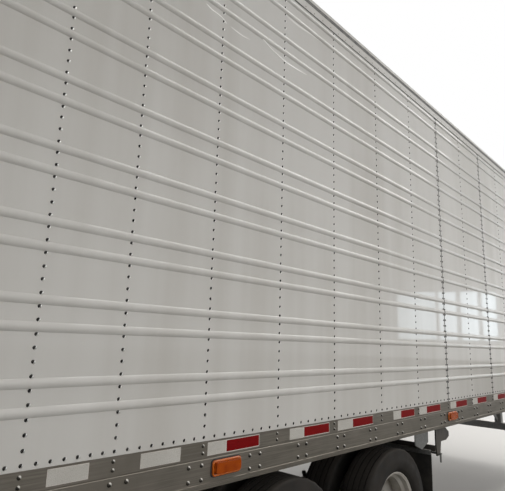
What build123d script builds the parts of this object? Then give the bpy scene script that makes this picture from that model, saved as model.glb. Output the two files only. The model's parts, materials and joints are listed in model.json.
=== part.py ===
from build123d import *
from math import cos, radians, sin, sqrt
import os

# A 53 foot dry van semi trailer, parked on its landing gear and its tandem.
# Frame: origin on the floor, mid length, on the centreline.
# +X runs forward to the nose, +Y to the left side, +Z up. Millimetres.

# Overall size
length = 16154.0
width = 2591.0
roof_edge_z = 4104.0
roof_crown = 11.0
skin_bottom_z = 1220.0
overhang = 60.0

# Side wall
wall_thickness = 45.0
rib_height = 8.0
rib_width = 38.0
rib_pair_spacing = 101.6
rib_pitch = 304.8
first_rib_height = 195.5
rib_top_margin = 30.0
rear_bay = 609.6
rear_bays = 10
front_bays = 24
sheet_gap = 1.5
rear_sheet_bays = (0, 4, 6)
front_sheets = 3

# Rails
top_rail_height = 109.0
top_rail_proud = 3.0
top_rail_wall = 5.0
top_rail_leg = 50.0
rail_setback = 4.0
rail_wall = 8.0
rail_leg = 6.0
rail_band = 82.0
rail_groove = 2.5
rail_groove_half = 3.0
rail_ridge_top = 190.0
rail_ridge_depth = 4.0
rail_ridge_height = 14.0
rail_lip = 217.0
rail_shelf_width = 48.0
rail_slant_length = 420.0

# Nose
corner_depth = 202.4
corner_radius = 150.0

# Floor and crossmembers
floor_thickness = 35.0
floor_drop = 54.0
beam_height = 102.0
beam_flange = 57.0
beam_flange_thickness = 4.5
beam_web = 4.0
beam_pitch = 406.4
beam_from_rear_frame = 129.6
coupler_beam_height = 35.0

# Roof
roof_sheet = 5.0
bow_width = 50.0
bow_height = 38.0
bow_pitch = 609.6
bow_wall = 4.0
bow_hat_width = 27.5

# Rear frame and doors
frame_depth = 102.0
frame_setback = 6.0
post_width = 100.0
post_outer_setback = 1.5
header_height = 120.0
door_thickness = 40.0
door_gap = 7.0
door_meeting_gap = 8.0
hinge_axis_behind_door = 24.0
hinge_axis_inset = 14.5
hinge_pin_radius = 8.0
hinge_knuckle_radius = 13.0
hinge_strap = 8.0
hinge_strap_reach = 110.0
hinge_height = 60.0
hinge_count = 5
hinge_end_distance = 180.0
hinge_running_gap = 0.08
hinge_side_gap = 1.0
hinge_ear = 14.0
hinge_neck = 30.0
hinge_shoulder = 10.0
hinge_shoulder_y = 2.0
lock_rod_radius = 13.5
lock_rod_standoff = 6.0
lock_rod_from_hinge = (430.0, 960.0)
lock_rod_reach = 34.0
cam_width = 46.0
cam_height = 22.0
keeper_gap = 8.0
keeper_wall = 8.0
keeper_height = 34.0
keeper_plate = 3.0
lock_guide_heights = (0.12, 0.5, 0.88)
lock_guide_height = 40.0
lock_guide_wall = 5.0
handle_z = 1700.0
handle_length = 220.0
handle_depth = 10.0
handle_height = 26.0

# Coupler
kingpin_from_nose = 914.0
coupler_plate_thickness = 8.0
coupler_plate_length = 1830.0
coupler_lead_length = 110.0
coupler_lead_rise = 25.0
coupler_plate_width = 1220.0
kingpin_collar_radius = 36.5
kingpin_collar_length = 35.0
kingpin_neck_radius = 25.4
kingpin_neck_length = 31.5
kingpin_head_radius = 35.7
kingpin_head_length = 17.5

# Landing gear
landing_from_kingpin = 2750.0
leg_track = 1840.0
leg_outer = 125.0
leg_inner = 104.0
leg_outer_bottom_z = 330.0
foot_size = 250.0
foot_thickness = 12.0
foot_ear_height = 60.0
foot_ear_thickness = 12.0
foot_pin_radius = 15.0
leg_bracket_length = 300.0
leg_bracket_thickness = 10.0
leg_bracket_height = 150.0
gearbox_height = 230.0
gearbox_depth = 60.0
gearbox_width = 100.0
shaft_z = 860.0
shaft_radius = 16.0
crank_radius = 12.0
crank_throw = 240.0
crank_stub = 100.0
crank_grip = 130.0
crank_grip_radius = 15.5
crank_inset = 18.0
brace_width = 50.0
brace_thickness = 10.0
brace_low_z = 480.0
brace_rear_reach = 788.0

# Sliding tandem
axle_spread = 1245.0
rear_axle_from_rear = 4731.2
tyre_radius = 465.0
tyre_width = 255.0
dual_spacing = 327.0
wheel_track = 1968.5
spring_track = 978.0
slide_hole_pitch = 152.4
slide_holes_rearward = 22
slide_holes_forward = 2
slide_rail_web = 8.0
slide_rail_height = 104.0
slide_rail_width = 92.0
slide_rail_top = 10.0
slide_rail_end = 60.0
slide_hole_radius = 22.0
slide_hole_drop = 60.0
slide_side_gap = 6.0
slide_top_gap = 0.3
bogie_rail_width = 76.0
bogie_rail_height = 225.0
bogie_rail_wall = 8.0
bogie_front_overhang = 640.0
bogie_rear_overhang = 800.0
bogie_cross_height = 140.0
bogie_cross_width = 90.0
bogie_cross_wall = 8.0
pin_radius = 19.0
pin_retract = 6.0
pin_length = 170.0
pin_from_end = 330.0
pin_bar_radius = 11.0
pin_bore_gap = 0.3
handle_rod_radius = 9.0

# Suspension
hanger_offset = 500.0
hanger_plate = 10.0
hanger_width = 110.0
hanger_top_length = 240.0
hanger_low_length = 110.0
spring_width = 76.0
leaf_thickness = 14.0
leaf_half_lengths = (455.0, 360.0, 250.0)
spring_camber = 60.0
equalizer_thickness = 34.0
seat_height = 22.0
seat_length = 190.0
clip_thickness = 16.0
torque_arm_radius = 19.0
torque_eye_radius = 30.0
torque_eye_width = 68.0
axle_radius = 63.5
spindle_radius = 42.0
spindle_end = 1120.0
axle_shoulder_y = 745.0
spider_radius = 150.0
spider_thickness = 16.0
spider_y = 742.0
chamber_radius = 82.0
chamber_length = 190.0
chamber_y = 330.0
chamber_offset = 215.0
tank_radius = 120.0
tank_length = 560.0
wear_pad_thickness = 20.0
equalizer_pin_rise = 52.0
equalizer_pin_radius = 22.0
equalizer_end = 35.0
equalizer_pad = 75.0
equalizer_waist = 48.0
equalizer_height = 92.0
equalizer_arch = 12.0
torque_lug_reach = 112.0
torque_lug_gap = 2.0
torque_bolt_radius = 12.0
lug_thickness = 10.0
clip_half = 72.0
clip_gap = 0.2
clip_bolt_radius = 8.0
dust_shield_radius = 212.0
dust_shield_thickness = 5.0
chamber_bracket = 40.0
chamber_clamp = 16.0
chamber_body_radius = 70.5
chamber_clamp_at = 85.0
cam_offset = 120.0
cam_rise = -10.0
cam_radius = 19.0
cam_lever = 56.0
cam_lever_thickness = 28.0
tank_dome = 60.0
tank_gap = 6.0
tank_strap = 40.0
tank_strap_y = 150.0
handle_behind_frame = 30.0
handle_reach_y = 1262.0
handle_hook = 70.0
guide_arm_low = 12.0
guide_arm_height = 50.0
guide_arm_rear = 75.0
guide_arm_front = 25.0
guide_plate_y = 1226.0
guide_plate_thickness = 12.0
guide_hole_gap = 0.5
guide_wall = 6.0

# Guide plate outline from the tandem's rear end and its underside
guide_outline = (
    (15.0, 190.0), (-200.0, 190.0), (-265.0, 150.0), (-265.0, 112.0), (-200.0, 86.0),
    (-90.0, 86.0), (-62.0, -26.0), (0.0, -26.0), (15.0, 60.0),
)

# Wheels
rim_radius = 285.75
rim_flange = 13.0
rim_width = 190.5
rim_thickness = 6.0
rim_well_radius = 262.0
rim_bead_start = 9.0
rim_seat_drop = 6.0
rim_seat_end = 42.0
rim_well_edge = 62.0
disc_thickness = 11.0
disc_hub_radius = 168.0
hand_hole_radius = 24.0
hand_hole_circle = 215.0
hand_hole_count = 5
hub_radius = 108.0
hub_end_y = 1150.0
drum_radius = 222.0
drum_wall = 22.0
drum_length = 200.0
hub_running_gap = 0.1
hub_back_gap = 8.0
hub_seal_radius = 72.0
hub_seal_length = 25.0
hub_barrel_start = 60.0
hub_flange = 22.0
hub_nose = 10.0
hub_nose_taper = 15.0
hub_cap_radius = 78.0
hub_cap_round = 16.0
spindle_end_gap = 8.0
drum_neck = 70.0
drum_neck_inside = 80.0
drum_web = 16.0
drum_web_radius = 156.0
disc_depth = 84.0
disc_rim_bite = 5.0
disc_edge_thickness = 16.5
disc_step = 6.0
tyre_bead_gap = 0.3

# Tyre section as shares of its height over the rim and of its half width
tyre_outside = (
    (0.0, 0.67), (0.09, 0.70), (0.29, 0.95), (0.47, 1.0), (0.71, 0.96),
    (0.93, 0.88), (1.0, 0.80),
)
tyre_inside = ((0.88, 0.72), (0.45, 0.87), (0.0, 0.46))

# Mudflaps
flap_behind_axle = 580.0
flap_bar_z = 830.0
flap_bar_height = 40.0
flap_bar_depth = 30.0
flap_bar_wall = 5.0
flap_outer_y = 1270.0
flap_width = 560.0
flap_thickness = 9.0
flap_bottom_z = 230.0
flap_tab_height = 135.0
flap_tab_half = 125.0
flap_tab_neck = 40.0
flap_tab_from_end = 68.0
flap_tab_thickness = 8.0

# Rear guard
guard_bottom_z = 510.0
guard_size = 100.0
guard_width = 2400.0
guard_post_y = 560.0
guard_post_size = 90.0
guard_stay = 12.0
guard_stay_foot = 60.0
guard_stay_top = 20.0

# Dock bumpers
bumper_inner_y = 1050.0
bumper_outer_y = 1270.0
bumper_bottom_z = 1015.0
bumper_height = 100.0

# Lamps: side lamps sit in the lower band of the bottom rail
lamp_length = 190.0
lamp_height = 72.0
lamp_drop = 131.0
lamp_base = 8.0
lamp_lens = 18.0
lamp_rim = 9.0
end_lamp_inset = 377.0
amber_lamp_from_rear = (6536.2, 3686.2)
round_lamp_radius = 50.0
header_lamp_radius = 20.0
lamp_corner = 18.0
lens_corner = 14.5
lamp_taper = 8.0
tail_lamp_y = (560.0, 690.0)
header_corner_lamp_y = 1180.0
header_middle_lamp_y = (-160.0, 0.0, 160.0)
lamp_recess = 22.0
lamp_proud = 8.0
lamp_gap = 0.3
nose_lamp_y = 1050.0
nose_lamp_depth = 16.0

# Front connections
connection_width = 520.0
connection_height = 200.0
connection_z = 1420.0
connection_plate_thickness = 5.0
coupling_depth = 24.0
coupling_radius = 32.0
coupling_stem_radius = 14.0
coupling_lug = 48.0
coupling_y = 170.0
socket_radius = 34.0
socket_depth = 36.0
socket_lid = 6.0
socket_lid_radius = 38.1

# Derived frame of the body
half_length = length / 2
half_width = width / 2
skin_y = half_width - rib_height
inner_y = skin_y - wall_thickness
wall_top_z = roof_edge_z - top_rail_height
wall_rear_x = -half_length + frame_depth
wall_front_x = half_length - corner_depth
last_rear_post_x = wall_rear_x + rear_bays * rear_bay
front_bay = (wall_front_x - last_rear_post_x) / front_bays
rail_y = skin_y - rail_setback
floor_top_z = skin_bottom_z - floor_drop
floor_bottom_z = floor_top_z - floor_thickness
beam_bottom_z = floor_bottom_z - beam_height
rail_inner_y = rail_y - rail_wall
frame_rear_x = -half_length + frame_setback
post_outer_y = half_width - post_outer_setback
post_inner_y = post_outer_y - post_width
header_bottom_z = roof_edge_z - header_height
door_bottom_z = floor_top_z + door_gap
door_top_z = header_bottom_z - door_gap
door_outer_y = post_inner_y - door_gap
door_inner_y = door_meeting_gap / 2
hinge_x = -half_length - hinge_axis_behind_door
hinge_y = half_width - hinge_axis_inset
kingpin_x = half_length - kingpin_from_nose
coupler_top_z = floor_bottom_z - coupler_beam_height
coupler_bottom_z = coupler_top_z - coupler_plate_thickness
coupler_front_x = half_length - wall_thickness
coupler_rear_x = coupler_front_x - coupler_plate_length
landing_x = kingpin_x - landing_from_kingpin
rear_axle_x = -half_length + rear_axle_from_rear
front_axle_x = rear_axle_x + axle_spread
middle_axle_x = (rear_axle_x + front_axle_x) / 2
axle_z = tyre_radius
dual_y = wheel_track / 2
spring_y = spring_track / 2
slide_range_rear = slide_holes_rearward * slide_hole_pitch
slide_range_front = slide_holes_forward * slide_hole_pitch
bogie_rear_x = rear_axle_x - bogie_rear_overhang
bogie_front_x = front_axle_x + bogie_front_overhang
bogie_top_z = beam_bottom_z - slide_rail_top - slide_top_gap
bogie_bottom_z = bogie_top_z - bogie_rail_height
bogie_outer_y = spring_y + bogie_rail_width / 2
bogie_inner_y = spring_y - bogie_rail_width / 2
slide_web_y = bogie_outer_y + slide_side_gap


def block(x0, x1, y0, y1, z0, z1):
    """A box between two corners."""
    size = Box(x1 - x0, y1 - y0, z1 - z0)
    return Pos((x0 + x1) / 2, (y0 + y1) / 2, (z0 + z1) / 2) * size


def face(points):
    return make_face(Polyline(*points, close=True))


def along_x(section, x0, x1):
    """Extrude a section drawn in (y, z) from x0 to x1."""
    return extrude(Plane.YZ.offset(x0) * section, amount=x1 - x0)


def along_y(section, y0, y1):
    """Extrude a section drawn in (x, z) from y1 down to y0."""
    plane = Plane(origin=(0, y1, 0), x_dir=(1, 0, 0), z_dir=(0, -1, 0))
    return extrude(plane * section, amount=y1 - y0)


def along_z(section, z0, z1):
    """Extrude a section drawn in (x, y) from z0 to z1."""
    return extrude(Plane.XY.offset(z0) * section, amount=z1 - z0)


def rod_x(x0, x1, y, z, radius):
    return Pos((x0 + x1) / 2, y, z) * Rot(0, 90, 0) * Cylinder(radius, x1 - x0)


def rod_y(x, y0, y1, z, radius):
    return Pos(x, (y0 + y1) / 2, z) * Rot(90, 0, 0) * Cylinder(radius, y1 - y0)


def rod_z(x, y, z0, z1, radius):
    return Pos(x, y, (z0 + z1) / 2) * Cylinder(radius, z1 - z0)


def bar(start, end, radius):
    """A round bar between two points."""
    a = Vector(*start)
    b = Vector(*end)
    plane = Plane(origin=a, z_dir=(b - a).normalized())
    return extrude(plane * Circle(radius), amount=(b - a).length)


def right(solid):
    """The same piece on the right side."""
    return mirror(solid, about=Plane.XZ)


def fuse(solids):
    """One solid from pieces that meet."""
    whole = solids[0]
    for piece in solids[1:]:
        whole = whole + piece
    return whole


def save(name, solids):
    """Write one node, as one solid or as several that stay apart."""
    pieces = solids if isinstance(solids, list) else [solids]
    parts = [s for piece in pieces for s in piece.solids()]
    node = parts[0] if len(parts) == 1 else Compound(children=parts)
    export_step(node, f"parts/{name}.step")


# Walls

def rib_heights():
    """Heights of the rib centres above the skin's bottom edge."""
    room = wall_top_z - skin_bottom_z - first_rib_height - rib_pair_spacing - rib_top_margin
    heights = []
    for pair in range(int(room // rib_pitch) + 1):
        low = first_rib_height + pair * rib_pitch
        heights += [low, low + rib_pair_spacing]
    return heights


def wall_section():
    """Wall outline in (y, z): flat inside, with raised beads outside."""
    lines = []
    here = (skin_y, skin_bottom_z)
    for height in rib_heights():
        z = skin_bottom_z + height
        low = (skin_y, z - rib_width / 2)
        crest = (skin_y + rib_height, z)
        high = (skin_y, z + rib_width / 2)
        lines.append(Line(here, low))
        lines.append(ThreePointArc(low, crest, high))
        here = high
    lines.append(Line(here, (skin_y, wall_top_z)))
    lines.append(Line((skin_y, wall_top_z), (inner_y, wall_top_z)))
    lines.append(Line((inner_y, wall_top_z), (inner_y, skin_bottom_z)))
    lines.append(Line((inner_y, skin_bottom_z), (skin_y, skin_bottom_z)))
    return make_face(Wire(lines))


def wall_sheet_edges():
    """X of the edges where one skin sheet ends and the next begins."""
    sheet = front_bays // front_sheets * front_bay
    edges = [wall_rear_x + bays * rear_bay for bays in rear_sheet_bays]
    edges += [last_rear_post_x + (n + 1) * sheet for n in range(front_sheets)]
    return edges


def side_wall():
    section = wall_section()
    edges = wall_sheet_edges()
    sheets = []
    for rear, front in zip(edges, edges[1:]):
        end = front if front == edges[-1] else front - sheet_gap
        sheets.append(along_x(section, rear, end))
    return sheets


# Rails

def bottom_rail_section():
    """Rail outline in (y, z) from its depth inboard and height over its top."""
    band = -rail_band
    ridge = -rail_ridge_top
    slope = rail_ridge_depth / 2
    shelf = -(skin_bottom_z - beam_bottom_z)
    leg_out = wall_thickness - rail_setback - rail_leg
    leg_in = wall_thickness - rail_setback
    leg_bottom = -(floor_drop + floor_thickness)
    outline = [
        (0, 0),
        (0, band + rail_groove_half),
        (rail_groove, band + rail_groove_half - rail_groove),
        (rail_groove, band - rail_groove_half + rail_groove),
        (0, band - rail_groove_half),
        (0, ridge),
        (-rail_ridge_depth, ridge - slope),
        (-rail_ridge_depth, ridge - rail_ridge_height + slope),
        (0, ridge - rail_ridge_height),
        (0, -rail_lip),
        (rail_wall, -rail_lip),
        (rail_wall, shelf - rail_wall),
        (rail_shelf_width, shelf - rail_wall),
        (rail_shelf_width, shelf),
        (rail_wall, shelf),
        (rail_wall, -rail_wall),
        (leg_out, -rail_wall),
        (leg_out, leg_bottom),
        (leg_in, leg_bottom),
        (leg_in, 0),
    ]
    return face([(rail_y - depth, skin_bottom_z + z) for depth, z in outline])


def bottom_rail():
    """Side rail, its front end cut up at a slant to clear a tractor."""
    rail = along_x(bottom_rail_section(), wall_rear_x, wall_front_x)
    low = skin_bottom_z - rail_lip
    slant = face([
        (wall_front_x - rail_slant_length, low), (wall_front_x, coupler_top_z),
        (wall_front_x, low),
    ])
    return rail - along_y(slant, inner_y - rail_shelf_width, half_width)


def top_rail_section():
    """Outer web, top flange, short inner leg and a foot on the wall."""
    outer = skin_y + top_rail_proud
    web = outer - top_rail_wall
    top = roof_edge_z
    foot = wall_top_z + top_rail_wall
    return face([
        (outer, wall_top_z),
        (outer, top),
        (inner_y, top),
        (inner_y, top - top_rail_leg),
        (inner_y + top_rail_wall, top - top_rail_leg),
        (inner_y + top_rail_wall, top - top_rail_wall),
        (web, top - top_rail_wall),
        (web, foot),
        (inner_y, foot),
        (inner_y, wall_top_z),
    ])


def top_rail():
    return along_x(top_rail_section(), wall_rear_x, wall_front_x)


# Nose

def nose_band(outer_y, outer_x, start_x, thickness):
    """Plan of a band round the nose, from one side wall to the other."""
    radius = corner_radius
    inner = radius - thickness
    bend_x = outer_x - radius
    bend_y = outer_y - radius
    inside_y = outer_y - thickness
    inside_x = outer_x - thickness
    swing = sqrt(1 / 2)
    mid_out = (bend_x + radius * swing, bend_y + radius * swing)
    mid_in = (bend_x + inner * swing, bend_y + inner * swing)
    lines = [
        Line((start_x, -outer_y), (bend_x, -outer_y)),
        ThreePointArc((bend_x, -outer_y), (mid_out[0], -mid_out[1]), (outer_x, -bend_y)),
        Line((outer_x, -bend_y), (outer_x, bend_y)),
        ThreePointArc((outer_x, bend_y), mid_out, (bend_x, outer_y)),
        Line((bend_x, outer_y), (start_x, outer_y)),
        Line((start_x, outer_y), (start_x, inside_y)),
        Line((start_x, inside_y), (bend_x, inside_y)),
        ThreePointArc((bend_x, inside_y), mid_in, (inside_x, bend_y)),
        Line((inside_x, bend_y), (inside_x, -bend_y)),
        ThreePointArc((inside_x, -bend_y), (mid_in[0], -mid_in[1]), (bend_x, -inside_y)),
        Line((bend_x, -inside_y), (start_x, -inside_y)),
        Line((start_x, -inside_y), (start_x, -outer_y)),
    ]
    return make_face(Wire(lines))


def nose_parts():
    """The flat front wall and the rounded corner posts beside it."""
    band = nose_band(skin_y, half_length, wall_front_x, wall_thickness)
    whole = along_z(band, skin_bottom_z, wall_top_z)
    flat_y = skin_y - corner_radius
    middle = block(half_length - wall_thickness, half_length, -flat_y, flat_y,
                   skin_bottom_z, wall_top_z)
    posts = whole - middle
    return middle, posts


def nose_rails():
    """The top and bottom rails that run round the nose."""
    top = nose_band(skin_y + top_rail_proud, half_length, wall_front_x,
                    wall_thickness + top_rail_proud)
    bottom = nose_band(rail_y, half_length - rail_setback, wall_front_x,
                       wall_thickness - rail_setback)
    upper = along_z(top, wall_top_z, roof_edge_z)
    lower = along_z(bottom, coupler_top_z, skin_bottom_z)
    return [upper, lower]


# Roof and floor

def roof_panel():
    """One sheet with a shallow crown, closed down onto the top rails."""
    edge_y = skin_y + top_rail_proud
    edge_z = roof_edge_z + roof_sheet
    crown_z = roof_edge_z + roof_crown
    outline = [
        Line((edge_y, roof_edge_z), (edge_y, edge_z)),
        ThreePointArc((edge_y, edge_z), (0, crown_z), (-edge_y, edge_z)),
        Line((-edge_y, edge_z), (-edge_y, roof_edge_z)),
        Line((-edge_y, roof_edge_z), (edge_y, roof_edge_z)),
    ]
    panel = along_x(make_face(Wire(outline)), frame_rear_x, half_length)
    corners = [e for e in panel.edges().filter_by(Axis.Z) if e.center().X > 0]
    return fillet(corners, corner_radius)


def roof_bows():
    """Hat section bows across the roof, between the top rails."""
    half = bow_width / 2
    brim = bow_hat_width / 2
    top = roof_edge_z
    low = top - bow_height
    hat = face([
        (-half, top), (-half, top - bow_wall), (-brim, top - bow_wall),
        (-brim, low), (brim, low), (brim, top - bow_wall),
        (half, top - bow_wall), (half, top), (brim - bow_wall, top),
        (brim - bow_wall, low + bow_wall), (bow_wall - brim, low + bow_wall),
        (bow_wall - brim, top),
    ])
    count = int((wall_front_x - wall_rear_x) // bow_pitch)
    bow = along_y(hat, -inner_y, inner_y)
    first = wall_rear_x + bow_pitch / 2
    return [Pos(first + n * bow_pitch, 0, 0) * bow for n in range(count)]


def floor_deck():
    """The laminated floor, shaped to the inside of the nose."""
    front_x = half_length - wall_thickness
    deck = block(wall_rear_x, front_x, -inner_y, inner_y, floor_bottom_z, floor_top_z)
    corners = [e for e in deck.edges().filter_by(Axis.Z) if e.center().X > 0]
    return fillet(corners, corner_radius - wall_thickness + rail_setback)


def beam_section(height):
    """I section of a crossmember, in (x, z), hung under the floor."""
    half = beam_flange / 2
    web = beam_web / 2
    top = floor_bottom_z
    low = top - height
    flange = beam_flange_thickness
    return face([
        (-half, top), (half, top), (half, top - flange), (web, top - flange),
        (web, low + flange), (half, low + flange), (half, low), (-half, low),
        (-half, low + flange), (-web, low + flange), (-web, top - flange),
        (-half, top - flange),
    ])


def crossmembers():
    """Deep beams along the body and shallow ones over the coupler plate."""
    deep = along_y(beam_section(beam_height), -rail_inner_y, rail_inner_y)
    shallow = along_y(beam_section(coupler_beam_height), -rail_inner_y, rail_inner_y)
    first = wall_rear_x + beam_from_rear_frame
    count = int((wall_front_x - first) // beam_pitch) + 1
    beams = []
    for n in range(count):
        x = first + n * beam_pitch
        over_plate = x > coupler_rear_x - beam_flange
        beams.append(Pos(x, 0, 0) * (shallow if over_plate else deep))
    return beams


# Coupler

def coupler_plate():
    """Pickup plate with its front edge bent up as a lead-in."""
    half = coupler_plate_width / 2
    bend_x = coupler_front_x - coupler_lead_length
    rise = coupler_lead_rise
    profile = face([
        (coupler_rear_x, coupler_bottom_z), (bend_x, coupler_bottom_z),
        (coupler_front_x, coupler_bottom_z + rise), (coupler_front_x, coupler_top_z + rise),
        (bend_x, coupler_top_z), (coupler_rear_x, coupler_top_z),
    ])
    plate = along_y(profile, -half, half)
    hole = rod_z(kingpin_x, 0, coupler_bottom_z, coupler_top_z, kingpin_collar_radius)
    return plate - hole


def kingpin():
    """Turned pin: collar through the plate, locking neck and head."""
    collar_z = coupler_bottom_z - kingpin_collar_length
    neck_z = collar_z - kingpin_neck_length
    head_z = neck_z - kingpin_head_length
    collar = rod_z(kingpin_x, 0, collar_z, coupler_top_z, kingpin_collar_radius)
    neck = rod_z(kingpin_x, 0, neck_z, collar_z, kingpin_neck_radius)
    head = rod_z(kingpin_x, 0, head_z, neck_z, kingpin_head_radius)
    return collar + neck + head


# Landing gear

def landing_leg():
    """Outer tube, gearbox and mounting bracket, with the inner tube below."""
    y = leg_track / 2
    outer = leg_outer / 2
    inner = leg_inner / 2
    top = beam_bottom_z
    foot_top = foot_thickness + foot_ear_height
    tube = block(landing_x - outer, landing_x + outer, y - outer, y + outer,
                 leg_outer_bottom_z, top)
    core = block(landing_x - inner, landing_x + inner, y - inner, y + inner,
                 foot_top, leg_outer_bottom_z)
    half = gearbox_width / 2
    gearbox = block(landing_x - half, landing_x + half, y + outer,
                    y + outer + gearbox_depth, shaft_z - gearbox_height / 2,
                    shaft_z + gearbox_height / 2)
    half = leg_bracket_length / 2
    plate = face([
        (landing_x - half, top), (landing_x + half, top),
        (landing_x + outer, top - leg_bracket_height),
        (landing_x - outer, top - leg_bracket_height),
    ])
    inner_face = y - outer
    bracket = along_y(plate, inner_face - leg_bracket_thickness, inner_face)
    return tube + core + gearbox + bracket


def landing_foot():
    """Sand shoe with two ears and a pivot pin under the inner tube."""
    y = leg_track / 2
    half = foot_size / 2
    inner = leg_inner / 2
    top = foot_thickness + foot_ear_height
    shoe = block(landing_x - half, landing_x + half, y - half, y + half, 0, foot_thickness)
    ear = block(landing_x - inner, landing_x + inner, y - inner,
                y - inner + foot_ear_thickness, foot_thickness, top)
    far = Pos(0, leg_inner - foot_ear_thickness, 0) * ear
    pin_z = foot_thickness + foot_ear_height / 2
    pin = rod_y(landing_x, y - inner, y + inner, pin_z, foot_pin_radius)
    return shoe + ear + far + pin


def landing_shaft():
    """Cross shaft between the legs, and the crank folded down outside."""
    inside = leg_track / 2 - leg_outer / 2
    shaft = rod_y(landing_x, -inside, inside, shaft_z, shaft_radius)
    outside = leg_track / 2 + leg_outer / 2 + gearbox_depth
    stub_end = outside + crank_stub
    stub = rod_y(landing_x, outside, stub_end, shaft_z, shaft_radius)
    throw_y = stub_end - crank_inset
    low = shaft_z - crank_throw
    throw = rod_z(landing_x, throw_y, low, shaft_z, crank_radius)
    grip = rod_y(landing_x, stub_end - crank_grip, stub_end, low, crank_grip_radius)
    return [shaft, fuse([stub, throw, grip])]


def landing_braces():
    """A cross brace between the legs and one stay back from each leg."""
    outer = leg_outer / 2
    y = leg_track / 2
    inside = y - outer
    half = brace_width / 2
    low = brace_low_z
    cross = block(landing_x - brace_thickness / 2, landing_x + brace_thickness / 2,
                  -inside, inside, low - half, low + half)
    rear = landing_x - outer
    stay = face([
        (rear, low + brace_width), (rear, low),
        (rear - brace_rear_reach - brace_width, beam_bottom_z),
        (rear - brace_rear_reach, beam_bottom_z),
    ])
    left = along_y(stay, y - brace_thickness / 2, y + brace_thickness / 2)
    return [cross, left, right(left)]


# Sliding tandem

def slide_rail():
    """Body rail: a flange under the beams and a web with locking holes."""
    rear = bogie_rear_x - slide_range_rear - slide_rail_end
    front = bogie_front_x + slide_range_front + slide_rail_end
    top = beam_bottom_z
    low = top - slide_rail_height
    outer = slide_web_y + slide_rail_web
    section = face([
        (outer - slide_rail_width, top), (outer, top), (outer, low),
        (slide_web_y, low), (slide_web_y, top - slide_rail_top),
        (outer - slide_rail_width, top - slide_rail_top),
    ])
    rail = along_x(section, rear, front)
    hole_z = top - slide_hole_drop
    rear_pin, front_pin = pin_places()
    cut = rod_y(0, slide_web_y - 1, outer + 1, hole_z, slide_hole_radius)
    holes = []
    last = rear_pin + slide_range_front
    for n in range(-slide_holes_rearward, slide_holes_forward + 1):
        holes.append(Pos(rear_pin + n * slide_hole_pitch, 0, 0) * cut)
        ahead = front_pin + n * slide_hole_pitch
        if ahead > last + slide_hole_pitch / 2:
            holes.append(Pos(ahead, 0, 0) * cut)
    return rail - holes


def bogie_frame():
    """Two channel rails tied by cross tubes."""
    wall = bogie_rail_wall
    outer = bogie_outer_y
    inner = bogie_inner_y
    section = face([
        (inner, bogie_top_z), (outer, bogie_top_z), (outer, bogie_bottom_z),
        (inner, bogie_bottom_z), (inner, bogie_bottom_z + wall),
        (outer - wall, bogie_bottom_z + wall), (outer - wall, bogie_top_z - wall),
        (inner, bogie_top_z - wall),
    ])
    rail = along_x(section, bogie_rear_x, bogie_front_x)
    half = bogie_cross_width / 2
    low = bogie_bottom_z + wall
    high = low + bogie_cross_height
    reach = outer - wall
    frame = rail + right(rail)
    for x in (bogie_rear_x + half, middle_axle_x, bogie_front_x - half):
        tube = block(x - half, x + half, -reach, reach, low, high)
        hollow = block(x - half + bogie_cross_wall, x + half - bogie_cross_wall,
                       -reach, reach, low + bogie_cross_wall, high - bogie_cross_wall)
        frame = frame + (tube - hollow)
    pin_z = beam_bottom_z - slide_hole_drop
    bore = pin_radius + pin_bore_gap
    for x in pin_places():
        frame = frame - rod_y(x, -outer - 1, outer + 1, pin_z, bore)
    return frame + handle_guide()


def handle_guide():
    """Arm out from the left rail, with the plate that guides the pull handle."""
    low = bogie_bottom_z + guide_arm_low
    high = low + guide_arm_height
    rear = bogie_rear_x - guide_arm_rear
    front = bogie_rear_x + guide_arm_front
    wall = guide_wall
    angle = face([
        (rear, low), (front, low), (front, high), (front - wall, high),
        (front - wall, low + wall), (rear, low + wall),
    ])
    arm = along_y(angle, bogie_outer_y - wall, guide_plate_y + wall)
    outline = face([(bogie_rear_x + x, bogie_bottom_z + z) for x, z in guide_outline])
    plate = along_y(outline, guide_plate_y, guide_plate_y + guide_plate_thickness)
    hole = rod_y(bogie_rear_x - handle_behind_frame, guide_plate_y - 1,
                 guide_plate_y + guide_plate_thickness + 1,
                 bogie_bottom_z - handle_rod_radius, handle_rod_radius + guide_hole_gap)
    return arm + plate - hole


def pin_places():
    """X of the rear and the front pair of locking pins."""
    return (bogie_rear_x + pin_from_end, bogie_front_x - pin_from_end)


def spring_base_z():
    """Top of the spring seat on the axle."""
    return axle_z + axle_radius + seat_height


def spring_top_z():
    """Height of the upper face of the spring's ends."""
    return spring_base_z() + leaf_thickness * len(leaf_half_lengths) + spring_camber


def leaf(x, half, low):
    """One curved leaf, its ends raised in step with its length squared."""
    rise = spring_camber * (half / leaf_half_lengths[0]) ** 2
    high = low + leaf_thickness
    rear = x - half
    front = x + half
    outline = [
        ThreePointArc((rear, low + rise), (x, low), (front, low + rise)),
        Line((front, low + rise), (front, high + rise)),
        ThreePointArc((front, high + rise), (x, high), (rear, high + rise)),
        Line((rear, high + rise), (rear, low + rise)),
    ]
    side = spring_width / 2
    return along_y(make_face(Wire(outline)), spring_y - side, spring_y + side)


def leaf_spring(x):
    """The pack of leaves over one axle seat, the longest on top."""
    leaves = []
    for index, half in enumerate(reversed(leaf_half_lengths)):
        leaves.append(leaf(x, half, spring_base_z() + index * leaf_thickness))
    return fuse(leaves)


def hanger_plates(outline):
    """A pair of side plates, with room for the spring between them."""
    side = hanger_width / 2
    inside = along_y(face(outline), spring_y - side, spring_y - side + hanger_plate)
    outside = along_y(face(outline), spring_y + side - hanger_plate, spring_y + side)
    return [inside, outside]


def hanger_low_z():
    return spring_base_z()


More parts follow.
